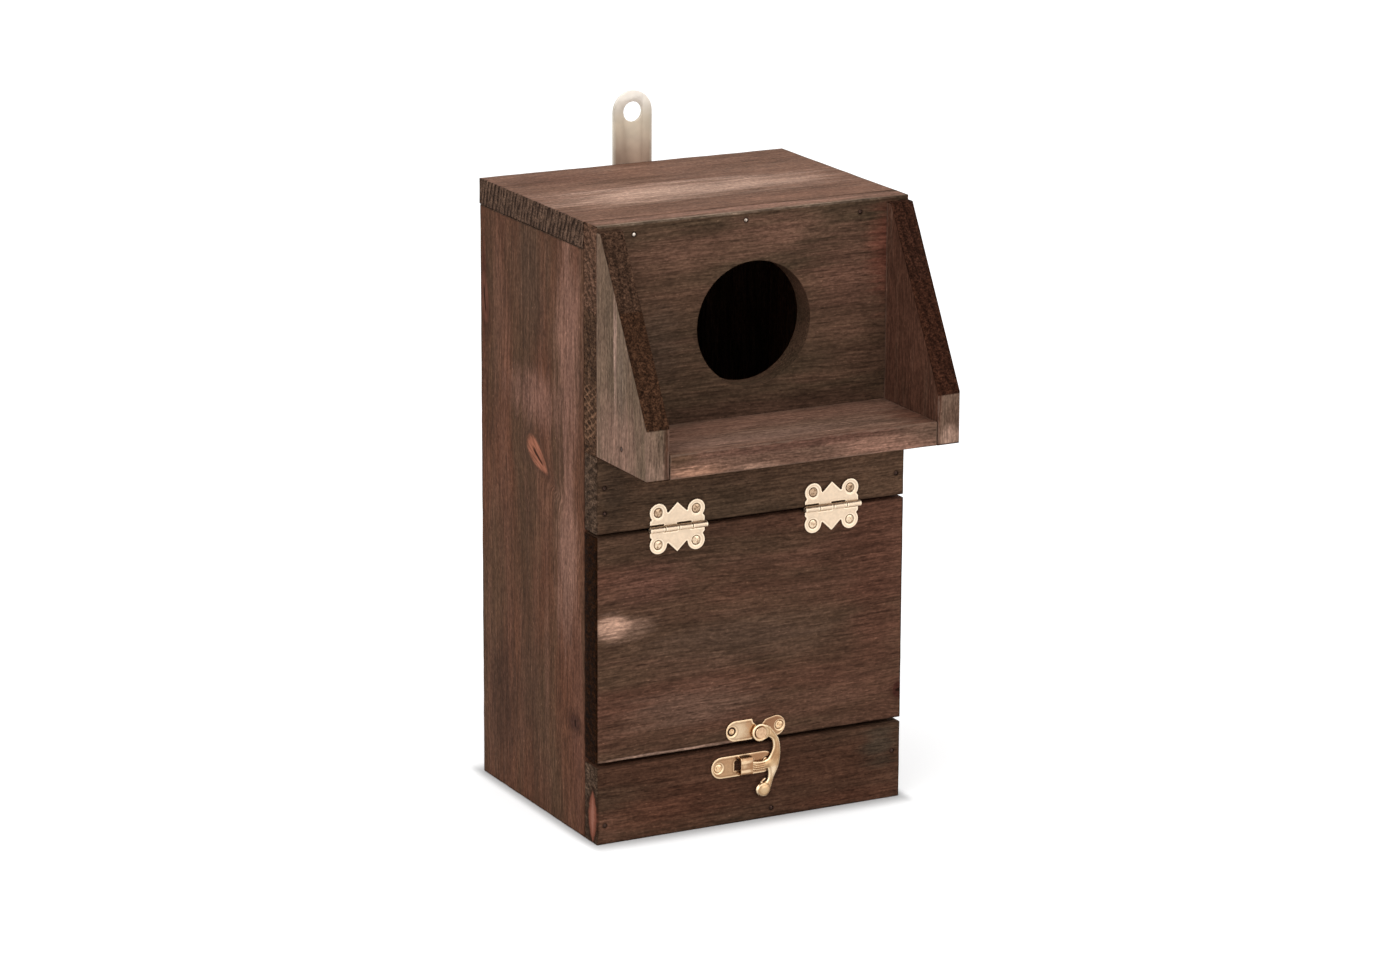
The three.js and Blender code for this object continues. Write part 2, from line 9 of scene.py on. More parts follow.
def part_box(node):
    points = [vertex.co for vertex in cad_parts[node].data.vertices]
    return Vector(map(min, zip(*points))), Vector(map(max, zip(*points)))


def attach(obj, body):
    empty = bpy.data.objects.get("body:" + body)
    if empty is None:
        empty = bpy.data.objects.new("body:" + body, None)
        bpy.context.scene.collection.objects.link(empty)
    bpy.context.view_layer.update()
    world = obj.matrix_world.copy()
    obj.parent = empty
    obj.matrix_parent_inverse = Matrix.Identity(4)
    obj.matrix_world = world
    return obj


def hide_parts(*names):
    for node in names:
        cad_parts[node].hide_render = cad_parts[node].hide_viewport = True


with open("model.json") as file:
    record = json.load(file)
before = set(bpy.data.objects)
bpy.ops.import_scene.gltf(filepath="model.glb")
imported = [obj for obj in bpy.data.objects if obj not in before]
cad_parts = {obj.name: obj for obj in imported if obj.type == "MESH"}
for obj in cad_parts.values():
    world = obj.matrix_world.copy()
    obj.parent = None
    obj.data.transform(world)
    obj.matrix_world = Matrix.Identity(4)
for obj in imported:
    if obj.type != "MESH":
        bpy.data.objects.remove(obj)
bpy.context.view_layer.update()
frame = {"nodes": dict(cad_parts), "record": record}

# Camera: a long lens at the photograph's angle, a little above the box and to its left. Its place,
# turns and lens were fitted to the box's corners in the photograph.
camera_place = (-0.9948, -1.89235, 0.7242)
camera_yaw = 27.56
camera_pitch = -15.04
camera_roll = -0.27
camera_lens = 127.0

bpy.ops.object.camera_add(
    location=camera_place,
    rotation=(math.radians(90 + camera_pitch), 0, math.radians(-camera_yaw)),
)
camera = bpy.context.object
camera.name = "photo_camera"
camera.data.lens = camera_lens
camera.data.sensor_width = 36
camera.data.clip_start = 0.05
camera.data.clip_end = 50
camera.rotation_euler.rotate_axis("Z", math.radians(-camera_roll))
bpy.context.scene.camera = camera

# Studio: a plain pale floor under the box, a white surround, and wide soft lights above and in front.
# The camera and reflections see white; the light on the object comes at a plain level. The floor's
# glow fades close to the box, sooner at its sides: a painted contact shadow over the box's own shadow.
millimetres = 1000
floor_size = 12
floor_colour = (0.62, 0.62, 0.62)
floor_glow = 0.5
glow_fade = 13
glow_side_share = 2
surround_light = 0.55
white = (1, 1, 1)


class Finish:
    """The nodes of one material, or of the surround. Each method adds nodes and gives back a result."""

    def __init__(self, name, kind="materials"):
        self.material = getattr(bpy.data, kind).new(name)
        self.material.use_nodes = True
        self.nodes = self.material.node_tree.nodes
        self.links = self.material.node_tree.links
        self.shader = self.nodes["Background" if kind == "worlds" else "Principled BSDF"]

    def add(self, kind, values=(), **settings):
        made = self.nodes.new(kind)
        for key, value in settings.items():
            setattr(made, key, value)
        for slot, value in values:
            self.put(made.inputs[slot], value)
        return made

    def put(self, socket, value):
        """Links a result to a socket, or sets the socket to a number or a colour."""
        if isinstance(value, bpy.types.NodeSocket):
            self.links.new(value, socket)
        else:
            socket.default_value = (*value, 1) if isinstance(value, tuple) else value

    def surface(self, *values):
        """Sets or links the shader's own sockets."""
        for slot, value in values:
            self.put(self.shader.inputs[slot], value)

    def place(self, scale=millimetres):
        """Where a point of the piece lies, in millimetres at the usual scale."""
        point = self.add("ShaderNodeTexCoord").outputs["Object"]
        return self.add("ShaderNodeVectorMath", ((0, point), ("Scale", scale)), operation="SCALE").outputs[0]

    def split(self, vector):
        return self.add("ShaderNodeSeparateXYZ", ((0, vector),)).outputs[:3]

    def spot(self, x, y, z):
        return self.add("ShaderNodeCombineXYZ", enumerate((x, y, z))).outputs[0]

    def math(self, operation, *values):
        return self.add("ShaderNodeMath", enumerate(values), operation=operation).outputs[0]

    def gap(self, value, centre):
        """How far a value lies from a centre."""
        return self.math("ABSOLUTE", self.math("SUBTRACT", value, centre))

    def length(self, *sides):
        total = 0.0
        for side in sides:
            total = self.math("MULTIPLY_ADD", side, side, total)
        return self.math("SQRT", total)

    def around(self, axes, centre, radii):
        """How far out a point lies from a centre, where 1 is an ellipsoid of the given radii."""
        return self.length(*(self.math("DIVIDE", self.math("SUBTRACT", axis, middle), radius)
                             for axis, middle, radius in zip(axes, centre, radii)))

    def ragged(self, value, noise, amount):
        """A value moved up and down by a noise."""
        return self.math("MULTIPLY_ADD", self.math("SUBTRACT", noise, 0.5), amount, value)

    def step(self, value, low, high, start=0.0, end=1.0):
        """A smooth change from start to end while a value goes from low to high."""
        names = ("Value", "From Min", "From Max", "To Min", "To Max")
        values = zip(names, (value, low, high, start, end))
        return self.add("ShaderNodeMapRange", values, interpolation_type="SMOOTHSTEP").outputs["Result"]

    def noise(self, where, detail=2.0, roughness=0.5):
        values = (("Vector", where), ("Scale", 1.0), ("Detail", detail), ("Roughness", roughness))
        return self.add("ShaderNodeTexNoise", values).outputs["Fac"]

    def blend(self, share, first, second, kind="MIX"):
        values = ((0, share), (6, first), (7, second))
        return self.add("ShaderNodeMix", values, data_type="RGBA", blend_type=kind).outputs[2]

    def shade(self, colour, factor):
        """A colour made lighter or darker by a factor."""
        return self.blend(1.0, colour, self.spot(factor, factor, factor), "MULTIPLY")


bpy.ops.mesh.primitive_plane_add(size=floor_size, location=(0, 0, 0))
floor = bpy.context.object
floor.name = "studio_floor"
finish = Finish("studio_floor")
rays = finish.add("ShaderNodeLightPath").outputs
seen = finish.math("MAXIMUM", rays["Is Camera Ray"], rays["Is Glossy Ray"])
# The floor's glow fades near the box's foot, which paints a contact shadow there.
foot_low, foot_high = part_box("left_side_panel")[0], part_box("right_side_panel")[1]
foot_low.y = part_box("bottom_rail")[0].y
foot_middle, foot_half = (foot_low + foot_high) / 2 * millimetres, (foot_high - foot_low) / 2 * millimetres
axes = finish.split(finish.place())
outside = [finish.math("SUBTRACT", finish.gap(axes[i], foot_middle[i]), foot_half[i]) for i in range(2)]
outside = [finish.math("MAXIMUM", past, 0) for past in outside]
distance = finish.length(finish.math("MULTIPLY", outside[0], glow_side_share), outside[1])
glow = finish.math("MULTIPLY", seen, finish.step(distance, 0, glow_fade, 0, floor_glow))
finish.surface(("Base Color", floor_colour), ("Roughness", 1), ("Specular IOR Level", 0),
               ("Emission Color", white), ("Emission Strength", glow))
floor.data.materials.append(finish.material)

surround = Finish("studio_surround", "worlds")
bpy.context.scene.world = surround.material
rays = surround.add("ShaderNodeLightPath").outputs
seen = surround.math("MAXIMUM", rays["Is Camera Ray"], rays["Is Glossy Ray"])
seen = surround.math("MAXIMUM", seen, rays["Is Transmission Ray"])
strength = surround.add("ShaderNodeMapRange", (("Value", seen), ("To Min", surround_light), ("To Max", 1)))
surround.surface(("Color", white), ("Strength", strength.outputs["Result"]))

soft_lights = (
    ("overhead_light", (-0.5, -0.5, 2.0), 70, 1.5),
    ("left_light", (-1.8, -0.6, 0.7), 60, 1.0),
    ("front_light", (0.9, -1.8, 0.8), 60, 0.9),
)
for name, place, spread, strength in soft_lights:
    bpy.ops.object.light_add(type="SUN", location=place)
    lamp = bpy.context.object
    lamp.name = name
    lamp.data.angle = math.radians(spread)
    lamp.data.energy = strength
    lamp.rotation_euler = Vector(place).to_track_quat("Z", "Y").to_euler()

bpy.context.scene.view_settings.view_transform = "Standard"


# Side panels: two sawn pine boards with their grain upright, stained walnut and wiped, so that pinkish
# and olive streaks show. They are glued and nailed to the boards in front and stand on their ends.
board_pitch = 0.004
board_ease = 0.0005
ease_steps = 3
sawn_depth = 0.00025
sawn_grain = 0.012
board_corner = 50
board_smooth = 35
nail_bore_radius = 0.00092
nail_bore_depth = 0.0012
nail_bore_sides = 25
wood_gloss = 0.012
crack_tone = (0.012, 0.005, 0.003)
iron_stain = (0.016, 0.008, 0.005)
flame_edge = (0.020, 0.009, 0.005)


def middle_of(node):
    """The middle of a CAD node, in millimetres."""
    low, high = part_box(node)
    return (low + high) / 2 * millimetres


def choose(piece):
    """Selects one piece and nothing else."""
    bpy.ops.object.select_all(action="DESELECT")
    piece.select_set(True)
    bpy.context.view_layer.objects.active = piece


def apply(piece, name, kind, **settings):
    """Gives a piece a modifier and applies it."""
    choose(piece)
    added = piece.modifiers.new(name, kind)
    for key, value in settings.items():
        setattr(added, key, value)
    bpy.ops.object.modifier_apply(modifier=added.name)


def ease(piece, width, degrees):
    """Rounds the edges where faces meet at more than an angle."""
    apply(piece, "eased edges", "BEVEL", width=width, segments=ease_steps, limit_method="ANGLE",
          angle_limit=math.radians(degrees))


def cut_out(piece, name, tool):
    """Cuts a tool's shape out of a piece and puts the tool away."""
    apply(piece, name, "BOOLEAN", object=tool, solver="EXACT")
    bpy.data.objects.remove(tool)


def smooth_faces(piece, degrees):
    """Shades a piece smooth, apart from edges sharper than an angle."""
    choose(piece)
    bpy.ops.object.shade_smooth_by_angle(angle=math.radians(degrees))


def block(name, low, high):
    """A cube between two corners, its place in its mesh."""
    bpy.ops.object.select_all(action="DESELECT")
    bpy.ops.mesh.primitive_cube_add(size=1, location=(low + high) / 2, scale=high - low)
    bpy.ops.object.transform_apply(location=True, rotation=True, scale=True)
    made = bpy.context.object
    made.name = name
    return made


def grid(piece):
    """Cuts a block's faces into a fine even grid, one axis after another."""
    bpy.ops.object.mode_set(mode="EDIT")
    bpy.ops.mesh.select_mode(type="EDGE")
    bpy.ops.object.mode_set(mode="OBJECT")
    mesh = piece.data
    for axis in range(3):
        places = [vertex.co[axis] for vertex in mesh.vertices]
        cuts = round((max(places) - min(places)) / board_pitch) - 1
        if cuts < 1:
            continue
        for part in (*mesh.polygons, *mesh.vertices):
            part.select = False
        for edge in mesh.edges:
            start, end = (mesh.vertices[i].co for i in edge.vertices)
            edge.select = abs((end - start).normalized()[axis]) > 0.99
        bpy.ops.object.mode_set(mode="EDIT")
        bpy.ops.mesh.subdivide(number_cuts=cuts)
        bpy.ops.object.mode_set(mode="OBJECT")


def bore(piece, nail, axis, out):
    """Sinks a nail's hole into a board, from the face that the nail's head lies in."""
    low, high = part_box(nail)
    centre = (low + high) / 2
    centre[axis] = (high if out > 0 else low)[axis]
    turn = [(0, math.pi / 2, 0), (math.pi / 2, 0, 0), (0, 0, 0)][axis]
    bpy.ops.object.select_all(action="DESELECT")
    bpy.ops.mesh.primitive_cylinder_add(vertices=nail_bore_sides, radius=nail_bore_radius,
                                        depth=2 * nail_bore_depth, location=centre, rotation=turn)
    cut_out(piece, "nail hole", bpy.context.object)


def finish_board(piece, nails=(), nail_axis=1, nail_out=-1):
    """Eases a board's edges, bores its nail holes and gives its faces the slight waves of sawn wood."""
    ease(piece, board_ease, board_corner)
    for nail in nails:
        bore(piece, nail, nail_axis, nail_out)
    waves = bpy.data.textures.new(piece.name + "_waves", "CLOUDS")
    waves.noise_scale = sawn_grain
    waves.noise_depth = 2
    apply(piece, "sawn face", "DISPLACE", texture=waves, texture_coords="LOCAL", strength=sawn_depth,
          mid_level=1)
    smooth_faces(piece, board_smooth)


def sawn_board(node, name, nails=()):
    """A finished board in a CAD node's place, and its two corners."""
    low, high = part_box(node)
    made = block(name, low, high)
    grid(made)
    finish_board(made, nails)
    return made, low, high


def stained_pine(name, low, high, grain, face, seed, tones, pith, knots=(), patches=(), ends=None,
                 ring_gap=4.2, ring_depth=0.08, streaks=0.4, edge_tone=(0.02, 0.01, 0.006),
                 edge_share=0.55, end_tones=((0.034, 0.018, 0.011), (0.090, 0.057, 0.038)),
                 end_split=None, end_rings=0.45, torn_size=1.0, saw_band=None, nails=(), flames=()):
    """Walnut stain on pine. Lengths are in millimetres, and grain and face are axes of the board."""
    finish = Finish(name)
    maths, step, noise, spot, blend = finish.math, finish.step, finish.noise, finish.spot, finish.blend
    place = finish.place()
    axes = finish.split(place)
    along, through = axes[grain], axes[face]
    across = axes[3 - grain - face]

    def times(*values):
        """The product of all the values."""
        total = values[0]
        for value in values[1:]:
            total = maths("MULTIPLY", total, value)
        return total

    # The grain wanders a little and flows round each knot
    wander = noise(spot(maths("DIVIDE", along, 120), maths("DIVIDE", across, 50), seed), 1)
    flow = maths("MULTIPLY_ADD", wander, 6.0, across)
    marks = []
    for centre_along, centre_across, half_length, half_width, tilt, taper, *_ in knots:
        ahead = maths("SUBTRACT", along, centre_along)
        aside = maths("SUBTRACT", across, centre_across)
        cosine, sine = math.cos(math.radians(tilt)), math.sin(math.radians(tilt))
        u = maths("ADD", times(ahead, cosine), times(aside, sine))
        v = maths("SUBTRACT", times(aside, cosine), times(ahead, sine))
        u, v = maths("DIVIDE", u, half_length), maths("DIVIDE", v, half_width)
        v = maths("DIVIDE", v, maths("MAXIMUM", maths("MULTIPLY_ADD", u, taper, 1.0), 0.25))
        reach = finish.length(u, v)
        marks.append((reach, u, v))
        push = maths("DIVIDE", aside, maths("MULTIPLY_ADD", reach, reach, 0.8))
        flow = maths("MULTIPLY_ADD", push, -0.7, flow)

    def stretched(length, width, shift):
        """A place for noise that is drawn out along the grain."""
        return spot(maths("DIVIDE", along, length), maths("MULTIPLY_ADD", flow, 1 / width, seed + shift),
                    maths("DIVIDE", through, width))

    def cut_across(width, depth, shift=0):
        """A place for noise on the board's end."""
        return spot(maths("DIVIDE", across, width), maths("DIVIDE", through, depth), seed + shift)

    # Growth rings round the heart of the tree, which lies outside the board
    ring = finish.length(maths("SUBTRACT", flow, pith[0]), maths("SUBTRACT", through, pith[1]))
    uneven = noise(spot(maths("DIVIDE", along, 70), maths("DIVIDE", flow, 9), seed + 3), 2)
    turn = maths("FRACT", maths("MULTIPLY_ADD", uneven, 2.2, maths("DIVIDE", ring, ring_gap)))
    late = maths("SUBTRACT", step(turn, 0.2, 0.8), step(turn, 0.86, 1.0))

    # Soft streaks of the wiped stain, then lines, fibres, pores and raised flecks
    wide = noise(stretched(130, 26, 7), 3)
    narrow = noise(stretched(75, 9, 11), 3, 0.6)
    cloud = noise(stretched(34, 17, 13), 3)
    line = noise(stretched(90, 1.1, 17), 3)
    fibre = noise(stretched(9, 0.75, 23), 2, 0.6)
    grit = noise(stretched(1.7, 0.9, 27), 1)
    dash = step(noise(stretched(5, 0.8, 29), 1), 0.6, 0.74)
    fleck = step(noise(stretched(1.9, 0.85, 31), 1), 0.66, 0.8)
    colour = blend(step(wide, 0.36, 0.64), tones[0], tones[1])
    colour = blend(times(step(narrow, 0.46, 0.74), streaks), colour, tones[2])
    value = times(
        step(cloud, 0.3, 0.7, 0.88, 1.12), step(line, 0.28, 0.72, 0.84, 1.16),
        step(fibre, 0.25, 0.75, 0.66, 1.34), step(grit, 0.25, 0.75, 0.78, 1.22),
        maths("MULTIPLY_ADD", late, -ring_depth, 1.0 + ring_depth / 2),
        maths("MULTIPLY_ADD", dash, -0.35, 1.04), maths("MULTIPLY_ADD", fleck, 0.7, 0.98))

    # Patches, ragged along the grain: rubbed and stained wood, and in places painted shade and painted light
    shreds = noise(stretched(34, 3.2, 37), 3, 0.6)
    for centre, radii, tone, strength in patches:
        reach = finish.ragged(finish.around(axes, centre, radii), shreds, 1.4)
        colour = blend(step(reach, 0.15, 1.15, strength, 0.0), colour, tone)
    colour = finish.shade(colour, value)

    # Arrises: how near a point lies to the nearest edge, where the stain gathers or is worn through
    middle, half = (low + high) / 2 * millimetres, (high - low) / 2 * millimetres
    gaps = [maths("SUBTRACT", half[i], finish.gap(axes[i], middle[i])) for i in range(3)]
    least = maths("MINIMUM", gaps[0], gaps[1])
    most = maths("MAXIMUM", gaps[0], gaps[1])
    edge = maths("MAXIMUM", least, maths("MINIMUM", most, gaps[2]))
    chips = noise(stretched(7, 3.0, 41), 3, 0.6)
    colour = blend(step(finish.ragged(edge, chips, 2.4), 0.2, 1.1, edge_share, 0.0), colour, edge_tone)

    # End grain: darker, rough from the saw, with the rings cut across
    if ends is None:
        end = step(gaps[grain], 0.3, 0.75, 1.0, 0.0)
    else:
        end = 0.0
        for normal, height in ends:
            parts = [times(axes[i], normal[i]) for i in range(3)]
            reach = maths("ADD", maths("ADD", parts[0], parts[1]), parts[2])
            end = maths("MAXIMUM", end, step(reach, height - 0.8, height - 0.4))
    rough = noise(spot(*(maths("DIVIDE", axis, 0.75) for axis in axes)), 2, 0.7)
    torn = noise(cut_across(1.5 * torn_size, 4.5 * torn_size), 3, 0.6)
    broken = step(noise(cut_across(5, 3), 2), 0.3, 0.5)
    cut_value = times(
        step(rough, 0.3, 0.75, 0.4, 1.8), step(torn, 0.3, 0.7, 0.65, 1.35),
        maths("MULTIPLY_ADD", times(late, broken), -end_rings, 1.0 + end_rings / 3))
    cut_colour = blend(torn, end_tones[0], end_tones[1])
    if end_split:
        height, upper, lower = end_split
        upper_colour = blend(torn, upper, lower)
        cut_colour = blend(step(axes[2], height - 0.4, height + 0.4), cut_colour, upper_colour)
    if saw_band:
        centre, half_band = saw_band
        inside = times(step(finish.gap(across, centre), half_band * 0.7, half_band, 1.0, 0.0),
                       step(along, -1, 1, 1.0, 0.0))
        faint = noise(cut_across(4, 4, 43), 2)
        for slope, spacing in ((0.6, 3.9), (-0.5, 3.3)):
            lines = maths("MULTIPLY_ADD", through, slope, across)
            lines = maths("FRACT", maths("MULTIPLY_ADD", torn, 0.8, maths("DIVIDE", lines, spacing)))
            scratch = times(step(finish.gap(lines, 0.5), 0.05, 0.2, 1.5, 0.0),
                            step(faint, 0.3, 0.6, 0.35, 1.0))
            cut_value = maths("MULTIPLY_ADD", scratch, inside, cut_value)
    colour = blend(end, colour, finish.shade(cut_colour, cut_value))

    # Knots: a dark surround, fibres that run along the branch, and a checked heart
    for (reach, u, v), (_, _, _, _, _, _, tone, dark, strength) in zip(marks, knots):
        reach = finish.ragged(reach, noise(place, 2), 0.25)
        colour = blend(times(step(reach, 0.9, 1.9, 0.42, 0.0), strength), colour, dark)
        threads = noise(spot(times(u, 1.6), times(v, 5.0), seed), 2)
        inner = finish.shade(tone, step(threads, 0.25, 0.75, 0.62, 1.4))
        colour = blend(step(reach, 0.72, 1.05, strength, 0.0), colour, inner)
        crack = finish.gap(finish.ragged(v, threads, 0.5), 0)
        crack = times(step(crack, 0.08, 0.2, 1.0, 0.0), step(finish.gap(u, -0.05), 0.3, 0.6, 0.9, 0.0))
        colour = blend(crack, colour, crack_tone)

    # Flames: pointed upright knots that show in an end, red round a pale core
    for centre, half_width, half_height, tone, core in flames:
        level = maths("DIVIDE", maths("SUBTRACT", axes[2], centre[2]), half_height)
        reach = maths("DIVIDE", finish.gap(axes[1], centre[1]), half_width)
        reach = finish.ragged(maths("MULTIPLY_ADD", level, level, reach), torn, 0.5)
        shown = step(finish.gap(axes[0], centre[0]), 0.6, 1.6, 1.0, 0.0)
        for inner, outer, share, shade in ((0.8, 1.9, 0.8, flame_edge), (0.6, 1.05, 0.95, tone),
                                           (0.1, 0.6, 0.9, core)):
            colour = blend(times(step(reach, inner, outer, share, 0.0), shown), colour, shade)

    # Nails: the iron has darkened the wood round each of them
    for nail in nails:
        centre = middle_of(nail)
        reach = finish.length(*(maths("SUBTRACT", axes[i], centre[i]) for i in range(3) if i != face))
        colour = blend(step(reach, 1.0, 1.9, 0.6, 0.0), colour, iron_stain)

    height = maths("MULTIPLY_ADD", line, 0.5, times(fibre, 0.6))
    height = maths("MULTIPLY_ADD", dash, -0.5, height)
    height = maths("MULTIPLY_ADD", end, maths("MULTIPLY_ADD", torn, 1.2, times(rough, 1.5)), height)
    bump = finish.add("ShaderNodeBump", (("Strength", 0.6), ("Distance", 0.00016), ("Height", height)))
    finish.surface(("Base Color", colour), ("Roughness", step(fibre, 0.3, 0.7, 0.58, 0.78)),
                   ("Specular IOR Level", wood_gloss), ("Normal", bump.outputs[0]))
    return finish.material


side_tones = ((0.105, 0.045, 0.027), (0.080, 0.043, 0.026), (0.151, 0.072, 0.049))
plain_knot = ((0.110, 0.042, 0.026), (0.045, 0.020, 0.013), 0.8)
sides = ("left", "right")
for side in sides:
    node = f"{side}_side_panel"
    side_board, low, high = sawn_board(node, f"{side}_side_board")
    if side == "left":
        knots = (
            (164.8, 22.6, 12.6, 5.4, 60, 0.45, (0.285, 0.112, 0.068), (0.067, 0.034, 0.024), 0.95),
            (51, -15.0, 3.8, 5.6, 0, 0, (0.062, 0.028, 0.020), (0.022, 0.010, 0.007), 0.95),
            (226, 77, 13, 4.5, 8, 0, (0.119, 0.047, 0.031), (0.049, 0.023, 0.015), 0.85),
        )
        patches = (
            ((-77, 28, 245), (6, 26, 42), (0.078, 0.044, 0.029), 0.75),
            ((-77, -9, 228), (6, 15, 62), (0.235, 0.122, 0.088), 0.9),
            ((-77, 62, 225), (6, 10, 60), (0.135, 0.066, 0.044), 0.6),
            ((-77, 78, 232), (6, 2.5, 40), (0.092, 0.027, 0.017), 0.8),
            ((-77, -9, 150), (6, 9, 60), (0.205, 0.102, 0.074), 0.65),
            ((-77, -7, 122), (6, 14, 48), (0.216, 0.115, 0.083), 0.85),
            ((-77, 60, 40), (6, 22, 55), (0.065, 0.035, 0.024), 0.75),
            ((-77, -17, 40), (6, 5, 12), (0.120, 0.050, 0.035), 0.5),
            ((-77, 14, 75), (6, 3, 60), (0.157, 0.077, 0.052), 0.5),
            ((-77, 30, 55), (6, 16, 60), (0.069, 0.037, 0.024), 0.7),
            ((-77, -16, 60), (6, 9, 60), (0.104, 0.047, 0.031), 0.6),
            ((-77, 24, 191), (6, 36, 16), (0.205, 0.104, 0.076), 0.7),
        )
    else:
        knots = ((120, 30, 8, 4.5, 20, 0.2, *plain_knot),)
        patches = (((77, 0, 190), (6, 16, 60), (0.190, 0.100, 0.072), 0.5),)
    side_board.data.materials.append(stained_pine(
        f"{side}_side_stain", low, high, grain=2, face=0, seed=3.1 if side == "left" else 8.4,
        tones=side_tones, pith=(-60, -110 if side == "left" else 110), knots=knots, patches=patches))
    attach(side_board, "box")
    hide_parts(node)

# Back and floor: boards of the same pine, let in between the side panels. The back's inner face,
# which the entry hole shows, is painted dark as the shade inside the box, and it has one knot.
for node, name, grain, face, seed in (
        ("back_panel", "back_board", 2, 1, 12.7), ("floor_panel", "floor_board", 0, 2, 15.2)):
    hidden_board, low, high = sawn_board(node, name)
    # Painted shade over the back's inner face.
    inside = ((0, low.y * millimetres, 150), (90, 6, 200), (0.012, 0.006, 0.004), 0.98)
    knot = (150, -22, 7, 4, 15, 0, *plain_knot)
    hidden_board.data.materials.append(stained_pine(
        f"{name}_stain", low, high, grain, face, seed, side_tones, pith=(20, -60),
        knots=(knot,) if node == "back_panel" else (), patches=(inside,) if node == "back_panel" else ()))
    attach(hidden_board, "box")
    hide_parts(node)

# Roof: a board with its grain from side to side, nailed over the side panels behind the front panel.
# Its top is paler than the rest, partly a wiped stain and partly painted sheen, and its sawn left end shows
# dark, slanting rings.
roof_board, low, high = sawn_board("roof_panel", "roof_board")
roof_tones = ((0.177, 0.096, 0.067), (0.139, 0.076, 0.052), (0.268, 0.166, 0.121))
# The first patch, pale over the top, is partly wiped stain and partly painted sheen.
roof_patches = (
    ((-8, 18, 280), (85, 22, 6), (0.412, 0.269, 0.204), 0.9),
    ((-45, 60, 280), (36, 14, 6), (0.118, 0.059, 0.040), 0.7),
    ((45, -14, 280), (45, 8, 6), (0.193, 0.101, 0.069), 0.7),
)
roof_board.data.materials.append(stained_pine(
    "roof_stain", low, high, grain=0, face=2, seed=21.3, tones=roof_tones, pith=(-215, 190),
    patches=roof_patches, ring_gap=3.1, end_rings=1.0, streaks=0.22,
    end_tones=((0.044, 0.025, 0.017), (0.104, 0.062, 0.042))))
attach(roof_board, "box")
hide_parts("roof_panel")

# Front panel: the upper front board, grain from side to side, nailed through into the roof's edge.
# The round entry hole is cut with a hole saw before the edges are eased.
hole_sides = 96
hole_radius = 0.028
hole_height = 0.2296
low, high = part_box("front_panel")
front_board = block("front_board", low, high)
grid(front_board)
bpy.ops.object.select_all(action="DESELECT")
bpy.ops.mesh.primitive_cylinder_add(
    vertices=hole_sides, radius=hole_radius, depth=3 * (high.y - low.y),
    location=(0, (low.y + high.y) / 2, hole_height), rotation=(math.pi / 2, 0, 0))
cut_out(front_board, "entry hole", bpy.context.object)
roof_nails = ("roof_nail_1", "roof_nail_2", "roof_nail_3")
finish_board(front_board, roof_nails)
front_tones = ((0.090, 0.049, 0.031), (0.063, 0.039, 0.024), (0.124, 0.062, 0.041))
front_patches = (
    ((0, -29, 280), (150, 9, 1.2), (0.250, 0.138, 0.100), 0.9),
    ((-20, -36.8, 280), (150, 3.4, 1.2), (0.270, 0.195, 0.140), 0.9),
    ((-42, -36, 264), (40, 6, 9), (0.128, 0.065, 0.044), 0.6),
    ((48, -36, 248), (26, 6, 30), (0.114, 0.054, 0.037), 0.6),
    ((-48, -36, 225), (16, 6, 22), (0.081, 0.050, 0.034), 0.6),
    ((12, -36, 269), (32, 6, 13), (0.142, 0.072, 0.049), 0.75),
    # Painted shade on the panel just above the shelf, between the wings.
    ((0, -36, 188), (90, 6, 14), (0.056, 0.028, 0.019), 0.7),
    ((68, -36, 255), (13, 6, 30), (0.150, 0.052, 0.034), 0.8),
)
front_board.data.materials.append(stained_pine(
    "front_panel_stain", low, high, grain=0, face=1, seed=31.9, tones=front_tones, pith=(225, 20),
    patches=front_patches, saw_band=(196, 15), nails=roof_nails,
    end_split=(241.5, (0.042, 0.020, 0.011), (0.150, 0.080, 0.052)), end_rings=0.5,
    end_tones=((0.026, 0.013, 0.008), (0.090, 0.048, 0.028))))
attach(front_board, "box")
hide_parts("front_panel")

# Hinge rail and bottom rail: narrow boards above and below the door, nailed to the side panels and
# stained darker and more olive than the door. A pointed knot shows in the bottom rail's left end.
rail_red = (0.082, 0.033, 0.020)
rails = (
    ("hinge_rail", ("hinge_rail_nail_1", "hinge_rail_nail_2", "hinge_rail_nail_3"), 41.5,
     ((0.104, 0.057, 0.035), (0.082, 0.050, 0.031), (0.138, 0.079, 0.051)),
     (),
     (((-68, -36.5, 160), (10, 8, 20), (0.052, 0.032, 0.021), 0.8),)),
    ("bottom_rail", ("bottom_rail_nail_1", "bottom_rail_nail_2", "floor_nail"), 47.3,
     ((0.067, 0.031, 0.019), (0.054, 0.032, 0.020), (0.090, 0.043, 0.027)),
     (((-77, -32.2, 12.5), 4.6, 13, (0.200, 0.070, 0.044), (0.300, 0.130, 0.090)),),
     (((-70, -36.5, 8), (8, 6, 9), (0.120, 0.058, 0.037), 0.7),
      ((-40, -36.5, 10), (45, 6, 14), rail_red, 0.7),
      ((45, -36.5, 4), (40, 6, 4), rail_red, 0.6),
      ((66, -36.5, 26), (12, 6, 12), (0.046, 0.036, 0.025), 0.7))),
)
for node, nails, seed, tones, flames, patches in rails:
    rail_board, low, high = sawn_board(node, f"{node}_board", nails)
    rail_board.data.materials.append(stained_pine(
        f"{node}_stain", low, high, grain=0, face=1, seed=seed, tones=tones, pith=(60, -90),
        patches=patches, nails=nails, flames=flames))
    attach(rail_board, "box")
    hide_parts(node)

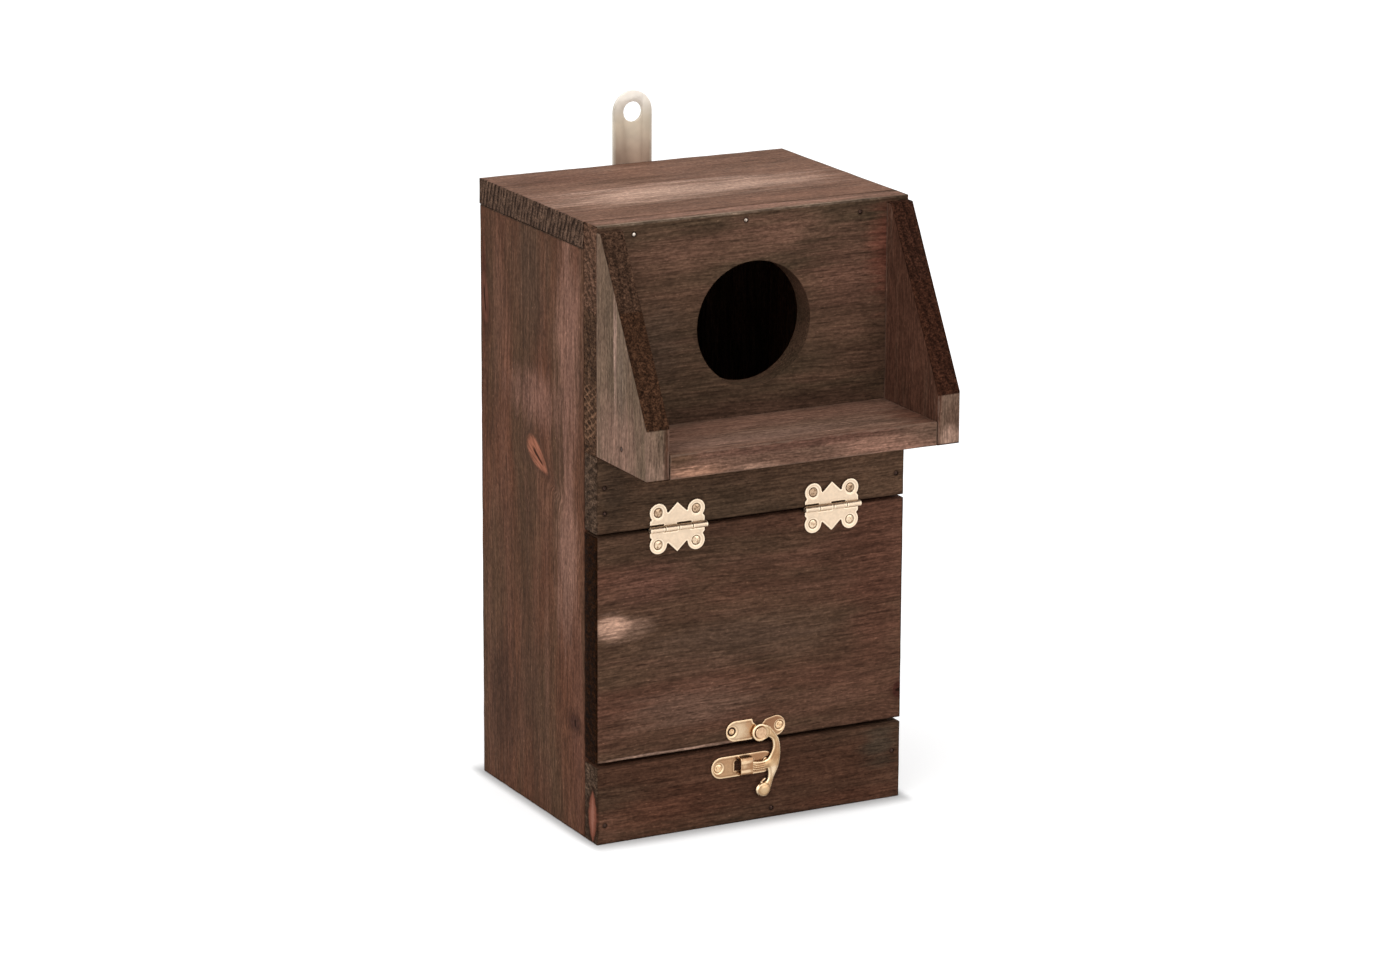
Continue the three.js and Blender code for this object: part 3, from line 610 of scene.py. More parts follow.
# Door: the wide front board that swings up on the hinges, redder than the rails, with a rubbed
# pale patch at its left edge and a dark knot low on its right
door_board, low, high = sawn_board("door_panel", "door_board")
door_tones = ((0.100, 0.045, 0.029), (0.076, 0.042, 0.026), (0.123, 0.059, 0.040))
door_board.data.materials.append(stained_pine(
    "door_stain", low, high, grain=0, face=1, seed=53.6, tones=door_tones, pith=(85, -60),
    knots=((76, 51, 3.5, 4.5, 0, 0, (0.053, 0.018, 0.013), (0.042, 0.017, 0.012), 0.9),),
    patches=(((-62, -36.5, 98), (17, 6, 6), (0.191, 0.113, 0.079), 0.8),
             ((-70, -36.5, 99.5), (10, 6, 7), (0.450, 0.268, 0.190), 1.0),
             ((-40, -36.5, 38.4), (44, 6, 1.1), (0.360, 0.226, 0.168), 1.0),
             ((-30, -36.5, 58), (45, 6, 12), (0.133, 0.077, 0.054), 0.6),
             ((-6, -36.5, 86), (62, 6, 13), (0.095, 0.056, 0.038), 0.6),
             ((-50, -36.5, 118), (24, 6, 14), (0.138, 0.063, 0.044), 0.6),
             ((62, -36.5, 96), (14, 6, 44), (0.085, 0.037, 0.024), 0.6)),
    end_tones=((0.006, 0.002, 0.001), (0.020, 0.007, 0.002))))
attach(door_board, "door")
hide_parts("door_panel")

# Balcony wings: upright boards sawn to a slant, grain upright, so that the slanted cut is dark end
# grain. Their lower ends and outer corners are rubbed pale. One nail holds each of them.
wing_tones = ((0.159, 0.101, 0.070), (0.131, 0.088, 0.059), (0.228, 0.137, 0.101))
nose_height = 0.0235
slant_top = Vector((0, -0.04055, 0.278))
wing_cuts = ((0, 3), (1, 12), (2, 25))
wing_sides = (
    ("left", -1, ((0.030, 0.015, 0.009), (0.060, 0.032, 0.020)),
     ((0.026, 0.011, 0.006), (0.050, 0.024, 0.013)), (0.180, 0.112, 0.080), 0.3, (0.052, 0.018, 0.010)),
    ("right", 1, ((0.019, 0.007, 0.004), (0.037, 0.015, 0.009)),
     ((0.021, 0.007, 0.004), (0.040, 0.016, 0.009)), (0.095, 0.054, 0.037), 0.6, (0.078, 0.033, 0.021)),
)
for side, sign, upper_cut, lower_cut, nose_tone, nose_rubbed, inner_face_shade in wing_sides:
    node = f"balcony_{side}_wing"
    low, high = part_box(node)
    wing_board = block(f"{side}_wing_board", low, high)
    slant_foot = Vector((0, low.y, low.z + nose_height))
    slant = slant_top - slant_foot
    outward = Vector((0, -slant.z, slant.y)).normalized()
    bpy.ops.object.mode_set(mode="EDIT")
    bpy.ops.mesh.select_all(action="SELECT")
    bpy.ops.mesh.bisect(plane_co=slant_foot, plane_no=outward, use_fill=True, clear_outer=True)
    for axis, count in wing_cuts:
        normal = Vector((0, 0, 0))
        normal[axis] = 1
        for i in range(1, count):
            bpy.ops.mesh.select_all(action="SELECT")
            bpy.ops.mesh.bisect(plane_co=low + (high - low) * i / count, plane_no=normal)
    bpy.ops.object.mode_set(mode="OBJECT")
    finish_board(wing_board, (f"{side}_wing_nail",), 0, sign)
    ends = ((tuple(outward), outward.dot(slant_foot) * millimetres), ((0, 0, 1), high.z * millimetres),
            ((0, 0, -1), -low.z * millimetres))
    outer, middle, inner = sign * 77, sign * 72, sign * 66
    # The last patch is painted shade over the inner face, between the wings.
    patches = (
        ((outer, -57, 190), (3, 27, 25), (0.236, 0.136, 0.101), 0.75),
        ((outer, -54.5, 230), (3, 2.1, 34), (0.330, 0.212, 0.163), 0.95),
        ((outer, -60, 222), (3, 6, 34), (0.180, 0.125, 0.092), 0.7),
        ((outer, -84.5, 188), (12, 2.5, 16), nose_tone, 0.85),
        ((middle, -84.5, 181), (9, 2.5, 6), (0.440, 0.275, 0.205), nose_rubbed),
        ((inner, -60, 230), (3, 150, 220), inner_face_shade, 0.95),
    )
    wing_board.data.materials.append(stained_pine(
        f"{side}_wing_stain", low, high, grain=2, face=0, seed=61.7 + 6 * sign, tones=wing_tones,
        pith=(-30, sign * 150), patches=patches, ends=ends,
        edge_tone=(0.19, 0.12, 0.09), edge_share=0.5, nails=(f"{side}_wing_nail",),
        end_split=(246.4, *upper_cut), end_tones=lower_cut, torn_size=0.4))
    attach(wing_board, "box")
    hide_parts(node)

# Balcony shelf: a board between the wings, grain from side to side, with painted light on the front
# of its top. Its lower front edge is rubbed nearly bare.
shelf_board, low, high = sawn_board("balcony_shelf", "shelf_board")
shelf_tones = ((0.153, 0.080, 0.055), (0.116, 0.068, 0.047), (0.228, 0.131, 0.095))
# The pale patch on the front of the top is painted light.
shelf_board.data.materials.append(stained_pine(
    "shelf_stain", low, high, grain=0, face=2, seed=71.2, tones=shelf_tones, pith=(-60, 120),
    edge_tone=(0.182, 0.117, 0.084), edge_share=0.5,
    patches=(((0, -84.5, 187.5), (75, 3, 3.4), (0.120, 0.056, 0.040), 0.8),
             ((-62, -84.5, 186), (12, 4, 5), (0.080, 0.044, 0.026), 0.8),
             ((64, -70, 189), (16, 22, 4), (0.091, 0.039, 0.025), 0.8),
             ((-52, -84.5, 180), (18, 4, 4), (0.330, 0.175, 0.115), 0.85),
             ((-22, -84.5, 178.5), (16, 4, 3), (0.376, 0.222, 0.156), 0.6),
             ((40, -84.5, 181), (34, 4, 5), (0.262, 0.138, 0.098), 0.75),
             ((-20, -72, 189), (60, 12, 3), (0.205, 0.122, 0.091), 0.6))))
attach(shelf_board, "box")
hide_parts("balcony_shelf")

# Nails: round wire nails driven just under the surface. The first two along the roof still shine,
# and the others took up the stain. The iron has marked the wood round each of them.
nail_head_radius = 0.00082
nail_head_dome = 0.00022
nail_sink = 0.0001
nail_shank_radius = 0.0006
nail_length = 0.008
nail_sides = 24
metal_smooth = 32
weld = 1e-6


def new_piece(name, mesh):
    """An object for a mesh, in the scene and selected alone."""
    made = bpy.data.objects.new(name, mesh)
    bpy.context.collection.objects.link(made)
    choose(made)
    return made


def turned(name, profile, sides):
    """A closed turned shape from a profile of (radius, height) points that starts and ends on its axis."""
    mesh = bpy.data.meshes.new(name)
    edges = [(i, i + 1) for i in range(len(profile) - 1)]
    mesh.from_pydata([(radius, 0, height) for radius, height in profile], edges, [])
    made = new_piece(name, mesh)
    apply(made, "turned", "SCREW", axis="Z", steps=sides, render_steps=sides, use_merge_vertices=True,
          merge_threshold=weld)
    bpy.ops.object.mode_set(mode="EDIT")
    bpy.ops.mesh.select_all(action="SELECT")
    bpy.ops.mesh.remove_doubles(threshold=weld)
    bpy.ops.mesh.normals_make_consistent(inside=False)
    bpy.ops.object.mode_set(mode="OBJECT")
    return made


def set_down(pattern, node, name, facing, spin, surface, scale=1):
    """A copy of a turned pattern, its own mesh, on a CAD fastener's axis with its zero at a surface."""
    low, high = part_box(node)
    place = (low + high) / 2
    place[max(range(3), key=lambda i: abs(facing[i]))] = surface
    turn = Vector((0, 0, 1)).rotation_difference(Vector(facing)).to_matrix().to_4x4()
    made = new_piece(name, pattern.data.copy())
    made.data.transform(Matrix.Translation(place) @ turn @ Matrix.Rotation(math.radians(spin), 4, "Z")
                        @ Matrix.Diagonal((scale, scale, 1, 1)))
    smooth_faces(made, metal_smooth)
    return made


def nail_paint(name, bright, dark):
    """Wire-nail steel, its face scuffed and its rim dark."""
    finish = Finish(name)
    scuff = finish.noise(finish.place(2600), 2)
    colour = finish.blend(finish.step(scuff, 0.35, 0.65), bright, dark)
    finish.surface(("Base Color", colour), ("Metallic", 0.85),
                   ("Roughness", finish.step(scuff, 0.3, 0.7, 0.3, 0.5)))
    return finish.material


nail_pattern = turned("nail_pattern", (
    (0, -nail_length), (nail_shank_radius, -nail_length + 2 * nail_shank_radius),
    (nail_shank_radius, -nail_sink - nail_head_radius / 2),
    (nail_head_radius, -nail_sink - nail_head_radius / 2), (nail_head_radius, -nail_sink - nail_head_dome),
    (nail_head_radius * 0.8, -nail_sink - nail_head_dome / 3), (nail_head_radius * 0.4, -nail_sink),
    (0, -nail_sink)), nail_sides)
bright_nail = nail_paint("bright_nail", (0.80, 0.72, 0.64), (0.40, 0.32, 0.26))
dull_nail = nail_paint("dull_nail", (0.60, 0.50, 0.42), (0.070, 0.036, 0.026))
stained_nail = nail_paint("stained_nail", (0.070, 0.036, 0.026), (0.018, 0.009, 0.006))
nail_paints = {"roof_nail_1": bright_nail, "roof_nail_2": dull_nail}
front_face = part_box("front_panel")[0].y
nail_nodes = [part["node"] for part in frame["record"]["subparts"] if "nail" in part["node"]]
for node in sorted(nail_nodes):
    if "wing" in node:
        side = -1 if "left" in node else 1
        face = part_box(f"balcony_{node.split('_')[0]}_wing")[0 if side < 0 else 1].x
        nail = set_down(nail_pattern, node, f"{node}_head", (side, 0, 0), 0, face)
    else:
        nail = set_down(nail_pattern, node, f"{node}_head", (0, -1, 0), 0, front_face)
    nail.data.materials.append(nail_paints.get(node, stained_nail))
    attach(nail, "box")
    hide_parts(node)
bpy.data.objects.remove(nail_pattern)

# Hanging strap: a strip of plated steel with round ends and a punched eye, its cut edges rounded.
# Its colour is pale at the top and browner lower down, a painted reflection of the roof below, with a
# painted highlight along its edges.
strap_edge = 0.0003
strap_half_width = 9.75
strap_corner = 40


def solid_copy(node, name):
    """A copy of a CAD solid, its corners joined and its flat faces made whole again."""
    made = new_piece(name, frame["nodes"][node].data.copy())
    made.data.materials.clear()
    bpy.ops.object.mode_set(mode="EDIT")
    bpy.ops.mesh.select_all(action="SELECT")
    bpy.ops.mesh.remove_doubles(threshold=weld)
    bpy.ops.mesh.dissolve_limited(angle_limit=math.radians(0.5))
    bpy.ops.object.mode_set(mode="OBJECT")
    return made


strap = solid_copy("hanger_strap", "plated_strap")
ease(strap, strap_edge, strap_corner)
smooth_faces(strap, metal_smooth)
finish = Finish("plated_strap")
step = finish.step
axes = finish.split(finish.place())
mottle = finish.noise(finish.spot(*(finish.math("DIVIDE", axis, 7) for axis in axes)), 2)
# Painted reflection: pale at the top, browner towards the roof.
colour = finish.blend(step(axes[2], 278, 302), (0.345, 0.240, 0.176), (0.565, 0.482, 0.375))
colour = finish.blend(step(axes[2], 298, 312), colour, (0.740, 0.690, 0.620))
# Painted highlight along the edges.
edge_highlight = step(finish.math("SUBTRACT", strap_half_width, finish.gap(axes[0], 0)), 0.2, 1.6, 0.55, 0.0)
colour = finish.blend(edge_highlight, colour, (0.600, 0.555, 0.470))
colour = finish.shade(colour, step(mottle, 0.3, 0.7, 0.9, 1.1))
finish.surface(("Base Color", colour), ("Metallic", 0.7), ("Roughness", step(mottle, 0.3, 0.7, 0.5, 0.62)))
strap.data.materials.append(finish.material)
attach(strap, "box")
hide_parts("hanger_strap")

# Screws: turned heads with a pressed cross. The brass ones sit deep in their countersinks, and the
# two pan heads hold the strap to the back.
cross_width = 0.00048
cross_reach = 0.72
screw_head_radius = 0.0017
screw_head_sink = 0.0003
screw_root_radius = 0.001
screw_length = 0.009
screw_dome = 0.0002
screw_sides = 32
cross_depth = 0.0003
pan_radius = 0.0032
pan_height = 0.0016
pan_root_radius = 0.0014
pan_cross_depth = 0.0009
pan_sides = 40
hinge_screw_lift = 0.0007
latch_screw_lift = 0.0008
wide_head = 1.2
narrow_head = 0.85


def press_cross(screw, top, radius, depth):
    """Presses a crosshead recess into a screw that faces up."""
    for turn in (0, 90):
        bpy.ops.object.select_all(action="DESELECT")
        bpy.ops.mesh.primitive_cube_add(
            size=1, location=(0, 0, top), rotation=(0, 0, math.radians(turn)),
            scale=(2 * cross_reach * radius, cross_width, 2 * depth))
        cut_out(screw, "cross", bpy.context.object)


screw_pattern = turned("screw_pattern", (
    (0, -screw_length), (screw_root_radius, -screw_length + 2 * screw_root_radius),
    (screw_root_radius, -screw_head_sink - screw_head_radius + screw_root_radius),
    (screw_head_radius * 0.93, -screw_head_sink - 0.0003),
    (screw_head_radius * 0.88, -screw_head_sink - 0.0001),
    (screw_head_radius * 0.62, -screw_head_sink + 0.0001), (0, -screw_head_sink + screw_dome)), screw_sides)
press_cross(screw_pattern, -screw_head_sink + screw_dome, screw_head_radius, cross_depth)
pan_pattern = turned("pan_pattern", (
    (0, -screw_length), (pan_root_radius, -screw_length + 2 * pan_root_radius), (pan_root_radius, 0),
    (pan_radius, 0), (pan_radius * 0.98, pan_height * 0.4), (pan_radius * 0.86, pan_height * 0.75),
    (pan_radius * 0.6, pan_height * 0.94), (0, pan_height)), pan_sides)
press_cross(pan_pattern, pan_height, pan_radius * 0.8, pan_cross_depth)


def screw_paint(name, bright, dark):
    """Plated screw head, bright where the driver rubbed it and brown in its cross."""
    finish = Finish(name)
    scuff = finish.noise(finish.place(900), 2)
    colour = finish.blend(finish.step(scuff, 0.42, 0.75), bright, dark)
    finish.surface(("Base Color", colour), ("Metallic", 1),
                   ("Roughness", finish.step(scuff, 0.3, 0.7, 0.22, 0.4)))
    return finish.material


pale_screw = screw_paint("pale_screw", (0.76, 0.60, 0.43), (0.34, 0.21, 0.13))
shaded_screw = screw_paint("shaded_screw", (0.50, 0.35, 0.23), (0.16, 0.085, 0.045))
gold_screw = screw_paint("gold_screw", (0.80, 0.58, 0.36), (0.34, 0.19, 0.09))
steel_screw = screw_paint("steel_screw", (0.62, 0.56, 0.48), (0.40, 0.34, 0.28))
spins = iter((20, 64, 8, 41, 75, 15, 52, 33, 60, 28, 10, 47, 71, 36))
for part in sorted(frame["record"]["subparts"], key=lambda part: part["node"]):
    node = part["node"]
    if "screw" not in node:
        continue
    name, spin = f"{node}_head", next(spins)
    if node.startswith("hanger"):
        screw = set_down(pan_pattern, node, name, (0, 1, 0), spin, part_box("hanger_strap")[1].y)
        paint, slot = steel_screw, "strap_steel"
    elif "hinge" in node:
        surface = front_face - hinge_screw_lift
        screw = set_down(screw_pattern, node, name, (0, -1, 0), spin, surface, wide_head)
        # The upper leaves' screws take a darker copy of the screw paint, painted shade under the balcony
        # shelf.
        paint, slot = shaded_screw if "upper" in node else pale_screw, "hinge_brass"
    else:
        width = narrow_head if node == "latch_plate_left_screw" else wide_head
        surface = front_face - latch_screw_lift
        screw = set_down(screw_pattern, node, name, (0, -1, 0), spin, surface, width)
        paint, slot = gold_screw, "latch_brass"
    screw.data.materials.append(paint)
    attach(screw, "door" if "lower" in node and "hinge" in node or "latch" in node else "box")
    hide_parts(node)
bpy.data.objects.remove(screw_pattern)
bpy.data.objects.remove(pan_pattern)

# Hinges: butterfly leaves pressed from brass strip, each rolled into two knuckles round a steel pin.
# The lobes are dished a little inside rims with a painted highlight, and the slots by the knuckles are drawn
# in.
leaf_voxel = 0.00018
leaf_smooth_steps = 4
lobe_dish = 0.00012
lobe_rim = 0.0034
lobe_across = 0.00935
lobe_up = 0.0073
wall_band = 0.0009
slot_reach = 0.0024
slot_shown = 0.00175
lobe_slope = 0.0006
relief_passes = 2
hinge_sink = 2.25
tarnish_tone = (0.40, 0.215, 0.115)


def eased(share):
    """A share from 0 to 1, with a soft start and a soft end."""
    return share * share * (3 - 2 * share)


def soften(piece, steps):
    """Smooths a fine mesh a number of times."""
    apply(piece, "softened", "SMOOTH", factor=0.5, iterations=steps)


def moulded(piece, voxel, steps):
    """Rounds a copied solid all over, as pressed or cast metal is, on an even fine mesh."""
    apply(piece, "even mesh", "REMESH", mode="VOXEL", voxel_size=voxel, use_smooth_shade=True)
    soften(piece, steps)


def map_relief(piece):
    """Stores how far each point of a fine mesh stands out, or lies in a hollow, as its own attribute."""
    mesh = piece.data
    count = len(mesh.vertices)
    points = np.empty(count * 3)
    mesh.vertices.foreach_get("co", points)
    points = points.reshape(-1, 3)
    normals = np.empty(count * 3)
    mesh.vertex_normals.foreach_get("vector", normals)
    normals = normals.reshape(-1, 3)
    ends = np.empty(len(mesh.edges) * 2, dtype=int)
    mesh.edges.foreach_get("vertices", ends)
    start, stop = ends.reshape(-1, 2).T
    way = points[stop] - points[start]
    way /= np.linalg.norm(way, axis=1)[:, None] + 1e-12
    relief = np.zeros(count)
    shared = np.bincount(start, minlength=count) + np.bincount(stop, minlength=count)
    np.add.at(relief, start, -(way * normals[start]).sum(1))
    np.add.at(relief, stop, (way * normals[stop]).sum(1))
    relief /= np.maximum(shared, 1)
    for _ in range(relief_passes):
        spread = np.bincount(start, relief[stop], count) + np.bincount(stop, relief[start], count)
        relief = 0.5 * relief + 0.5 * spread / np.maximum(shared, 1)
    stored = mesh.attributes.new("relief", "FLOAT", "POINT")
    stored.data.foreach_set("value", relief)


def map_inset(piece):
    """Stores how far in from a flat piece's outline each of its points lies, in millimetres."""
    points = [v.co for v in piece.data.vertices]
    back = max(point.y for point in points)
    walls = [v.co for v in piece.data.vertices if abs(v.normal.y) < 0.3 and back - v.co.y < wall_band]
    nearest = kdtree.KDTree(len(walls))
    for i, point in enumerate(walls):
        nearest.insert((point.x, 0, point.z), i)
    nearest.balance()
    insets = [nearest.find((point.x, 0, point.z))[2] * millimetres for point in points]
    stored = piece.data.attributes.new("inset", "FLOAT", "POINT")
    stored.data.foreach_set("value", insets)
    return insets


def brass_paint(name, face, bright, dark, roughness, shadows=(), glints=(), sinks=(), fold=None,
                groove_share=0.3, tarnish_share=0.5):
    """Brass with a painted highlight on its rounded edges, and brown in its hollows, patina and painted
    shade. Places are in millimetres.
    """
    finish = Finish(name)
    maths, step, blend, gap = finish.math, finish.step, finish.blend, finish.gap
    axes = finish.split(finish.place())

    def cloud(size, detail, roughness):
        return finish.noise(finish.spot(*(maths("DIVIDE", axis, size) for axis in axes)), detail, roughness)

    blotch = cloud(1.4, 3, 0.55)
    colour = finish.shade(face, step(blotch, 0.3, 0.7, 0.93, 1.07))
    colour = blend(step(cloud(3.1, 2, 0.5), 0.4, 0.66, 0.0, tarnish_share), colour, tarnish_tone)

    def patched(colour, tones):
        for centre, radii, tone, strength in tones:
            reach = finish.ragged(finish.around(axes, centre, radii), blotch, 0.6)
            colour = blend(step(reach, 0.3, 1.1, strength, 0.0), colour, tone)
        return colour

    # A dark line painted just inside the outline as the shade of a pressed border, and a painted highlight
    # on the outer edges
    colour = patched(colour, glints)
    inset = finish.add("ShaderNodeAttribute", attribute_name="inset").outputs["Fac"]
    inset = finish.ragged(inset, blotch, 0.5)
    colour = blend(step(gap(inset, 1.15), 0.15, 0.55, groove_share, 0.0), colour, dark)
    colour = blend(step(inset, 0.35, 0.85, 0.85, 0.0), colour, bright)
    colour = patched(colour, shadows)
    relief = finish.add("ShaderNodeAttribute", attribute_name="relief").outputs["Fac"]
    # Painted highlight where the surface stands out, and in hollows a brown that is patina and painted shade
    colour = blend(step(relief, 0.03, 0.16, 0.0, 0.9), colour, bright)
    colour = blend(step(relief, -0.14, -0.02, 0.9, 0.0), colour, dark)

    # Countersinks: painted shade inside, with a painted highlight on the lip
    x, z = axes[0], axes[2]
    if fold:
        x, z = gap(gap(x, fold[0]), fold[1]), gap(z, fold[2])
    for centre_x, centre_z, radius, tone in sinks:
        reach = finish.length(maths("SUBTRACT", x, centre_x), maths("SUBTRACT", z, centre_z))
        colour = blend(step(gap(reach, radius + 0.35), 0.1, 0.4, 0.75, 0.0), colour, bright)
        colour = blend(step(reach, radius - 0.25, radius + 0.1, 0.95, 0.0), colour, tone)
    finish.surface(("Base Color", colour), ("Metallic", 1),
                   ("Roughness", step(blotch, 0.3, 0.7, roughness - 0.05, roughness + 0.08)))
    return finish.material


left_hinge, right_hinge = (middle_of(f"{side}_hinge_pin") for side in sides)
hinge_fold = ((left_hinge.x + right_hinge.x) / 2, (right_hinge.x - left_hinge.x) / 2, left_hinge.z)
# Hinge brass: a painted highlight on the rims, and painted shade in the countersinks.
leaf_paint = brass_paint(
    "pressed_brass", (0.70, 0.55, 0.405), (0.90, 0.74, 0.56), (0.28, 0.17, 0.095), 0.4,
    sinks=((lobe_across * millimetres, lobe_up * millimetres, hinge_sink, (0.30, 0.19, 0.11)),),
    fold=hinge_fold, groove_share=0.04, tarnish_share=0.04)
for side in sides:
    pin_low, pin_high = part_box(f"{side}_hinge_pin")
    axis = (pin_low + pin_high) / 2
    for level in ("upper", "lower"):
        node = f"{side}_hinge_{level}_leaf"
        leaf = solid_copy(node, f"{side}_hinge_{level}_pressed_leaf")
        for vertex in leaf.data.vertices:
            up = vertex.co.z - axis.z
            if abs(abs(up) - slot_reach) < slot_reach / 100:
                vertex.co.z = axis.z + math.copysign(slot_shown, up)
        moulded(leaf, leaf_voxel, leaf_smooth_steps)
        for vertex in leaf.data.vertices:
            lobe_x, lobe_z = abs(vertex.co.x - axis.x) - lobe_across, abs(vertex.co.z - axis.z) - lobe_up
            inside = lobe_rim - math.hypot(lobe_x, lobe_z)
            if inside > 0 and vertex.normal.y < -0.7:
                vertex.co.y += lobe_dish * eased(min(1, inside / lobe_slope))
        map_relief(leaf)
        map_inset(leaf)
        leaf.data.materials.append(leaf_paint)
        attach(leaf, "box" if level == "upper" else "door")
        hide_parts(node)
    pin = solid_copy(f"{side}_hinge_pin", f"{side}_hinge_steel_pin")
    smooth_faces(pin, metal_smooth)
    pin.data.materials.append(steel_screw)
    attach(pin, "box")
    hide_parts(f"{side}_hinge_pin")

# Latch and catch plates: antique brass stampings with softly rounded edges, browner than the hinges.
# The catch plate's middle is cut and bent out into the loop that the hook's finger slides under.
latch_voxel = 0.00016
latch_sink = 2.15
plate_face = (0.42, 0.255, 0.140)
plate_bright = (0.82, 0.60, 0.38)
plate_dark = (0.13, 0.055, 0.025)
plates = (
    ("latch_plate", "stamped_latch_plate", "door", 12, (0.020, 0.010, 0.006), (0.235, 0.110, 0.056)),
    ("catch_plate", "stamped_catch_plate", "box", 10, (0.20, 0.10, 0.05), (0.31, 0.155, 0.078)),
)
for node, name, body, steps, left_sink, right_lobe_shade in plates:
    # The countersinks' tones are painted shade, darkest round the latch plate's left screw.
    sinks = [(screw.x, screw.z, latch_sink, tone) for screw, tone in (
        (middle_of(f"{node}_left_screw"), left_sink),
        (middle_of(f"{node}_right_screw"), (0.09, 0.035, 0.016)))]
    stamping = solid_copy(node, name)
    moulded(stamping, latch_voxel, steps)
    map_relief(stamping)
    map_inset(stamping)
    middle, front = middle_of(node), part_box(node)[0].y * millimetres
    # Painted shade on the right lobe and on the catch loop's top fold and right side; painted highlights on
    # the latch plate's left lobe and the loop's upper left.
    shadows = [((middle.x + 9, middle.y, middle.z + 2), (9, 6, 5), right_lobe_shade, 0.85)]
    if node == "latch_plate":
        glints = [((middle.x - 11, front, middle.z), (8, 6, 7), (0.66, 0.50, 0.33), 0.8)]
    else:
        loop = middle.x + 0.8
        shadows += [
            ((loop, front + 2.2, middle.z + 4.5), (3.6, 2.4, 1.0), (0.06, 0.026, 0.013), 0.9),
            ((loop + 2.6, front, middle.z - 0.5), (1.9, 1.6, 4.2), (0.34, 0.17, 0.08), 0.8),
        ]
        glints = [((loop - 1.4, front, middle.z + 1.5), (1.7, 1.4, 3.2), (0.66, 0.46, 0.28), 0.7)]
    stamping.data.materials.append(brass_paint(
        f"{name}_brass", plate_face, plate_bright, plate_dark, 0.27, shadows, glints, sinks))
    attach(stamping, body)
    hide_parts(node)

# Rivet: the brass pin that the hook turns on. Its head is peened nearly flat in the middle of the
# hook's collar, with a shallow groove round it.
rivet_root_radius = 0.0014
rivet_length = 0.009
rivet_sides = 48
rivet_smooth = 40
rivet_set_back = 0.0012
rivet_low, rivet_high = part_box("latch_rivet")
rivet_place = (rivet_low + rivet_high) / 2
rivet_seat = front_face - rivet_low.y - rivet_set_back
rivet = turned("peened_rivet", (
    (0, rivet_seat - rivet_length), (rivet_root_radius, rivet_seat - rivet_length),
    (rivet_root_radius, rivet_seat), (0.0026, rivet_seat),
    (0.00272, rivet_seat + 0.00018), (0.00255, rivet_seat + 0.0004), (0.0019, rivet_seat + 0.00046),
    (0.0016, rivet_seat + 0.00036), (0.0009, rivet_seat + 0.00046), (0, rivet_seat + 0.0005)), rivet_sides)
turn = Matrix.Rotation(math.pi / 2, 4, "X")
rivet.data.transform(Matrix.Translation((rivet_place.x, front_face, rivet_place.z)) @ turn)
smooth_faces(rivet, rivet_smooth)
rivet.data.materials.append(screw_paint("peened_brass", (0.62, 0.41, 0.25), (0.46, 0.27, 0.16)))
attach(rivet, "door")
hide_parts("latch_rivet")

# Hook: cast brass. Its arm is half round with a painted highlight on its rim, its eye has a round collar,
# the finger is grooved, and the thumb tab bulges and has a small curled lip.
hook_voxel = 0.00015
hook_smooth_steps = 6
hook_soften_steps = 4
hook_round = 0.0024
hook_fall = 0.0008
hook_flat_share = 0.25
tab_round = 0.0032
tab_rise = 0.0007
tab_side_share = 0.62
eye_radius = 0.0046
collar_radius = 0.0035
collar_width = 0.0009
collar_fall = 0.0003
lip_size = Vector((0.0016, 0.0006, 0.00045))
lip_tilt = 32
lip_reach = Vector((0.0018, 0, -0.0229))
tab_reach = Vector((0.00195, 0, -0.0271))
hook_back, hook_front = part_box("latch_hook")[1].y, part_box("latch_hook")[0].y
hook = solid_copy("latch_hook", "cast_latch_hook")
bpy.ops.mesh.primitive_uv_sphere_add(
    segments=24, ring_count=16, radius=1, scale=lip_size, rotation=(0, math.radians(-lip_tilt), 0),
    location=Vector((rivet_place.x, hook_back - 1.1 * lip_size.y, rivet_place.z)) + lip_reach)
bpy.ops.object.transform_apply(location=True, rotation=True, scale=True)
hook.select_set(True)
bpy.context.view_layer.objects.active = hook
bpy.ops.object.join()
moulded(hook, hook_voxel, hook_smooth_steps)
insets = map_inset(hook)
depth = hook_back - hook_front - tab_rise
tab = rivet_place + tab_reach
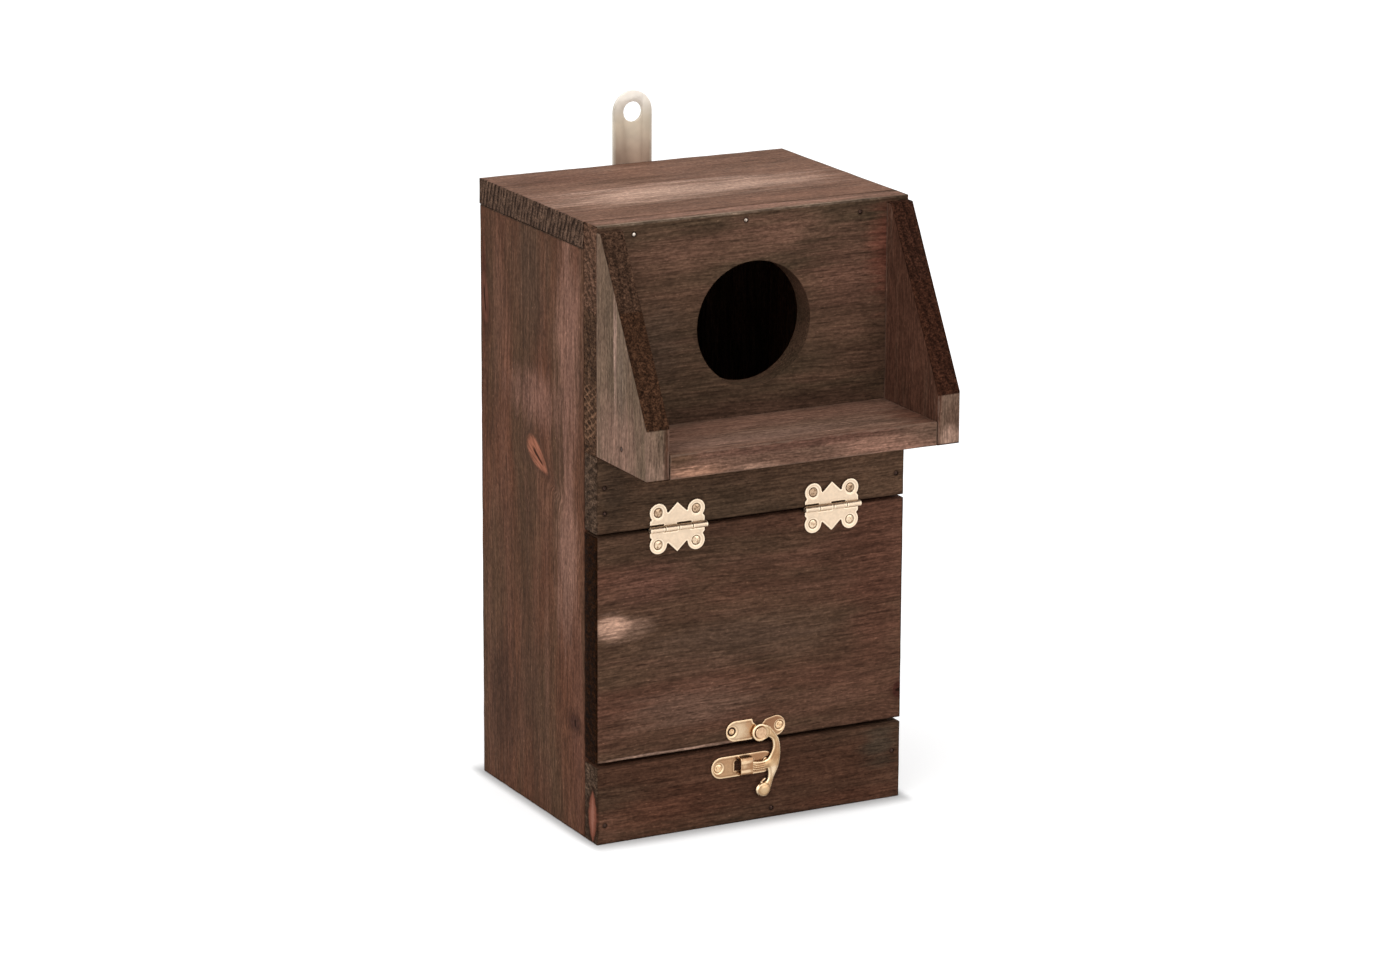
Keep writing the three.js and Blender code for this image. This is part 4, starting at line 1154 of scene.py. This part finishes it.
for vertex, inset in zip(hook.data.vertices, insets):
    height = (hook_back - vertex.co.y) / depth
    if height < hook_flat_share:
        continue
    from_tab = math.hypot(vertex.co.x - tab.x, vertex.co.z - tab.z)
    from_pivot = math.hypot(vertex.co.x - rivet_place.x, vertex.co.z - rivet_place.z)
    if from_tab < tab_round:
        bulge = math.sqrt(max(0, 1 - (from_tab / tab_round) ** 2))
        top = hook_back - depth * tab_side_share - (depth * (1 - tab_side_share) + tab_rise) * bulge
        vertex.co.y += (top - vertex.co.y) * min(1, (height - hook_flat_share) / 0.3)
        continue
    share = max(0, 1 - inset / millimetres / hook_round)
    fall = hook_fall * share * share
    if from_pivot < eye_radius:
        fall = collar_fall * (1 - eased(max(0, 1 - abs(from_pivot - collar_radius) / collar_width)))
    vertex.co.y += fall * min(1, (height - hook_flat_share) / 0.5)
soften(hook, hook_soften_steps)
map_relief(hook)
pivot = rivet_place * millimetres
# Painted shade on the arm, the finger, under the lip and by the tab; painted highlights on the lower arm,
# the collar and the tab.
hook_paint = brass_paint(
    "cast_brass", (0.53, 0.350, 0.190), (0.92, 0.73, 0.49), (0.16, 0.070, 0.030), 0.25,
    shadows=(((pivot.x + 8, pivot.y, pivot.z - 11), (5, 8, 4.6), (0.33, 0.175, 0.080), 0.8),
             ((pivot.x - 0.2, pivot.y, pivot.z - 15.8), (5.2, 8, 3), (0.25, 0.115, 0.048), 0.85),
             ((pivot.x + 1.8, pivot.y, pivot.z - 22.9), (2.4, 8, 1.2), (0.27, 0.110, 0.045), 0.9),
             ((pivot.x + 4.2, pivot.y, pivot.z - 29), (2.2, 8, 2.4), (0.30, 0.165, 0.080), 0.7)),
    glints=(((pivot.x + 6.6, pivot.y, pivot.z - 19), (3.6, 8, 4.6), (0.95, 0.77, 0.54), 0.95),
            ((pivot.x, pivot.y, pivot.z), (5.5, 8, 5.5), (0.82, 0.64, 0.42), 0.7),
            ((pivot.x + 1.5, pivot.y, pivot.z - 27), (3.4, 8, 3.4), (0.70, 0.52, 0.31), 0.7)))
hook.data.materials.append(hook_paint)
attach(hook, "hook")
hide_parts("latch_hook")
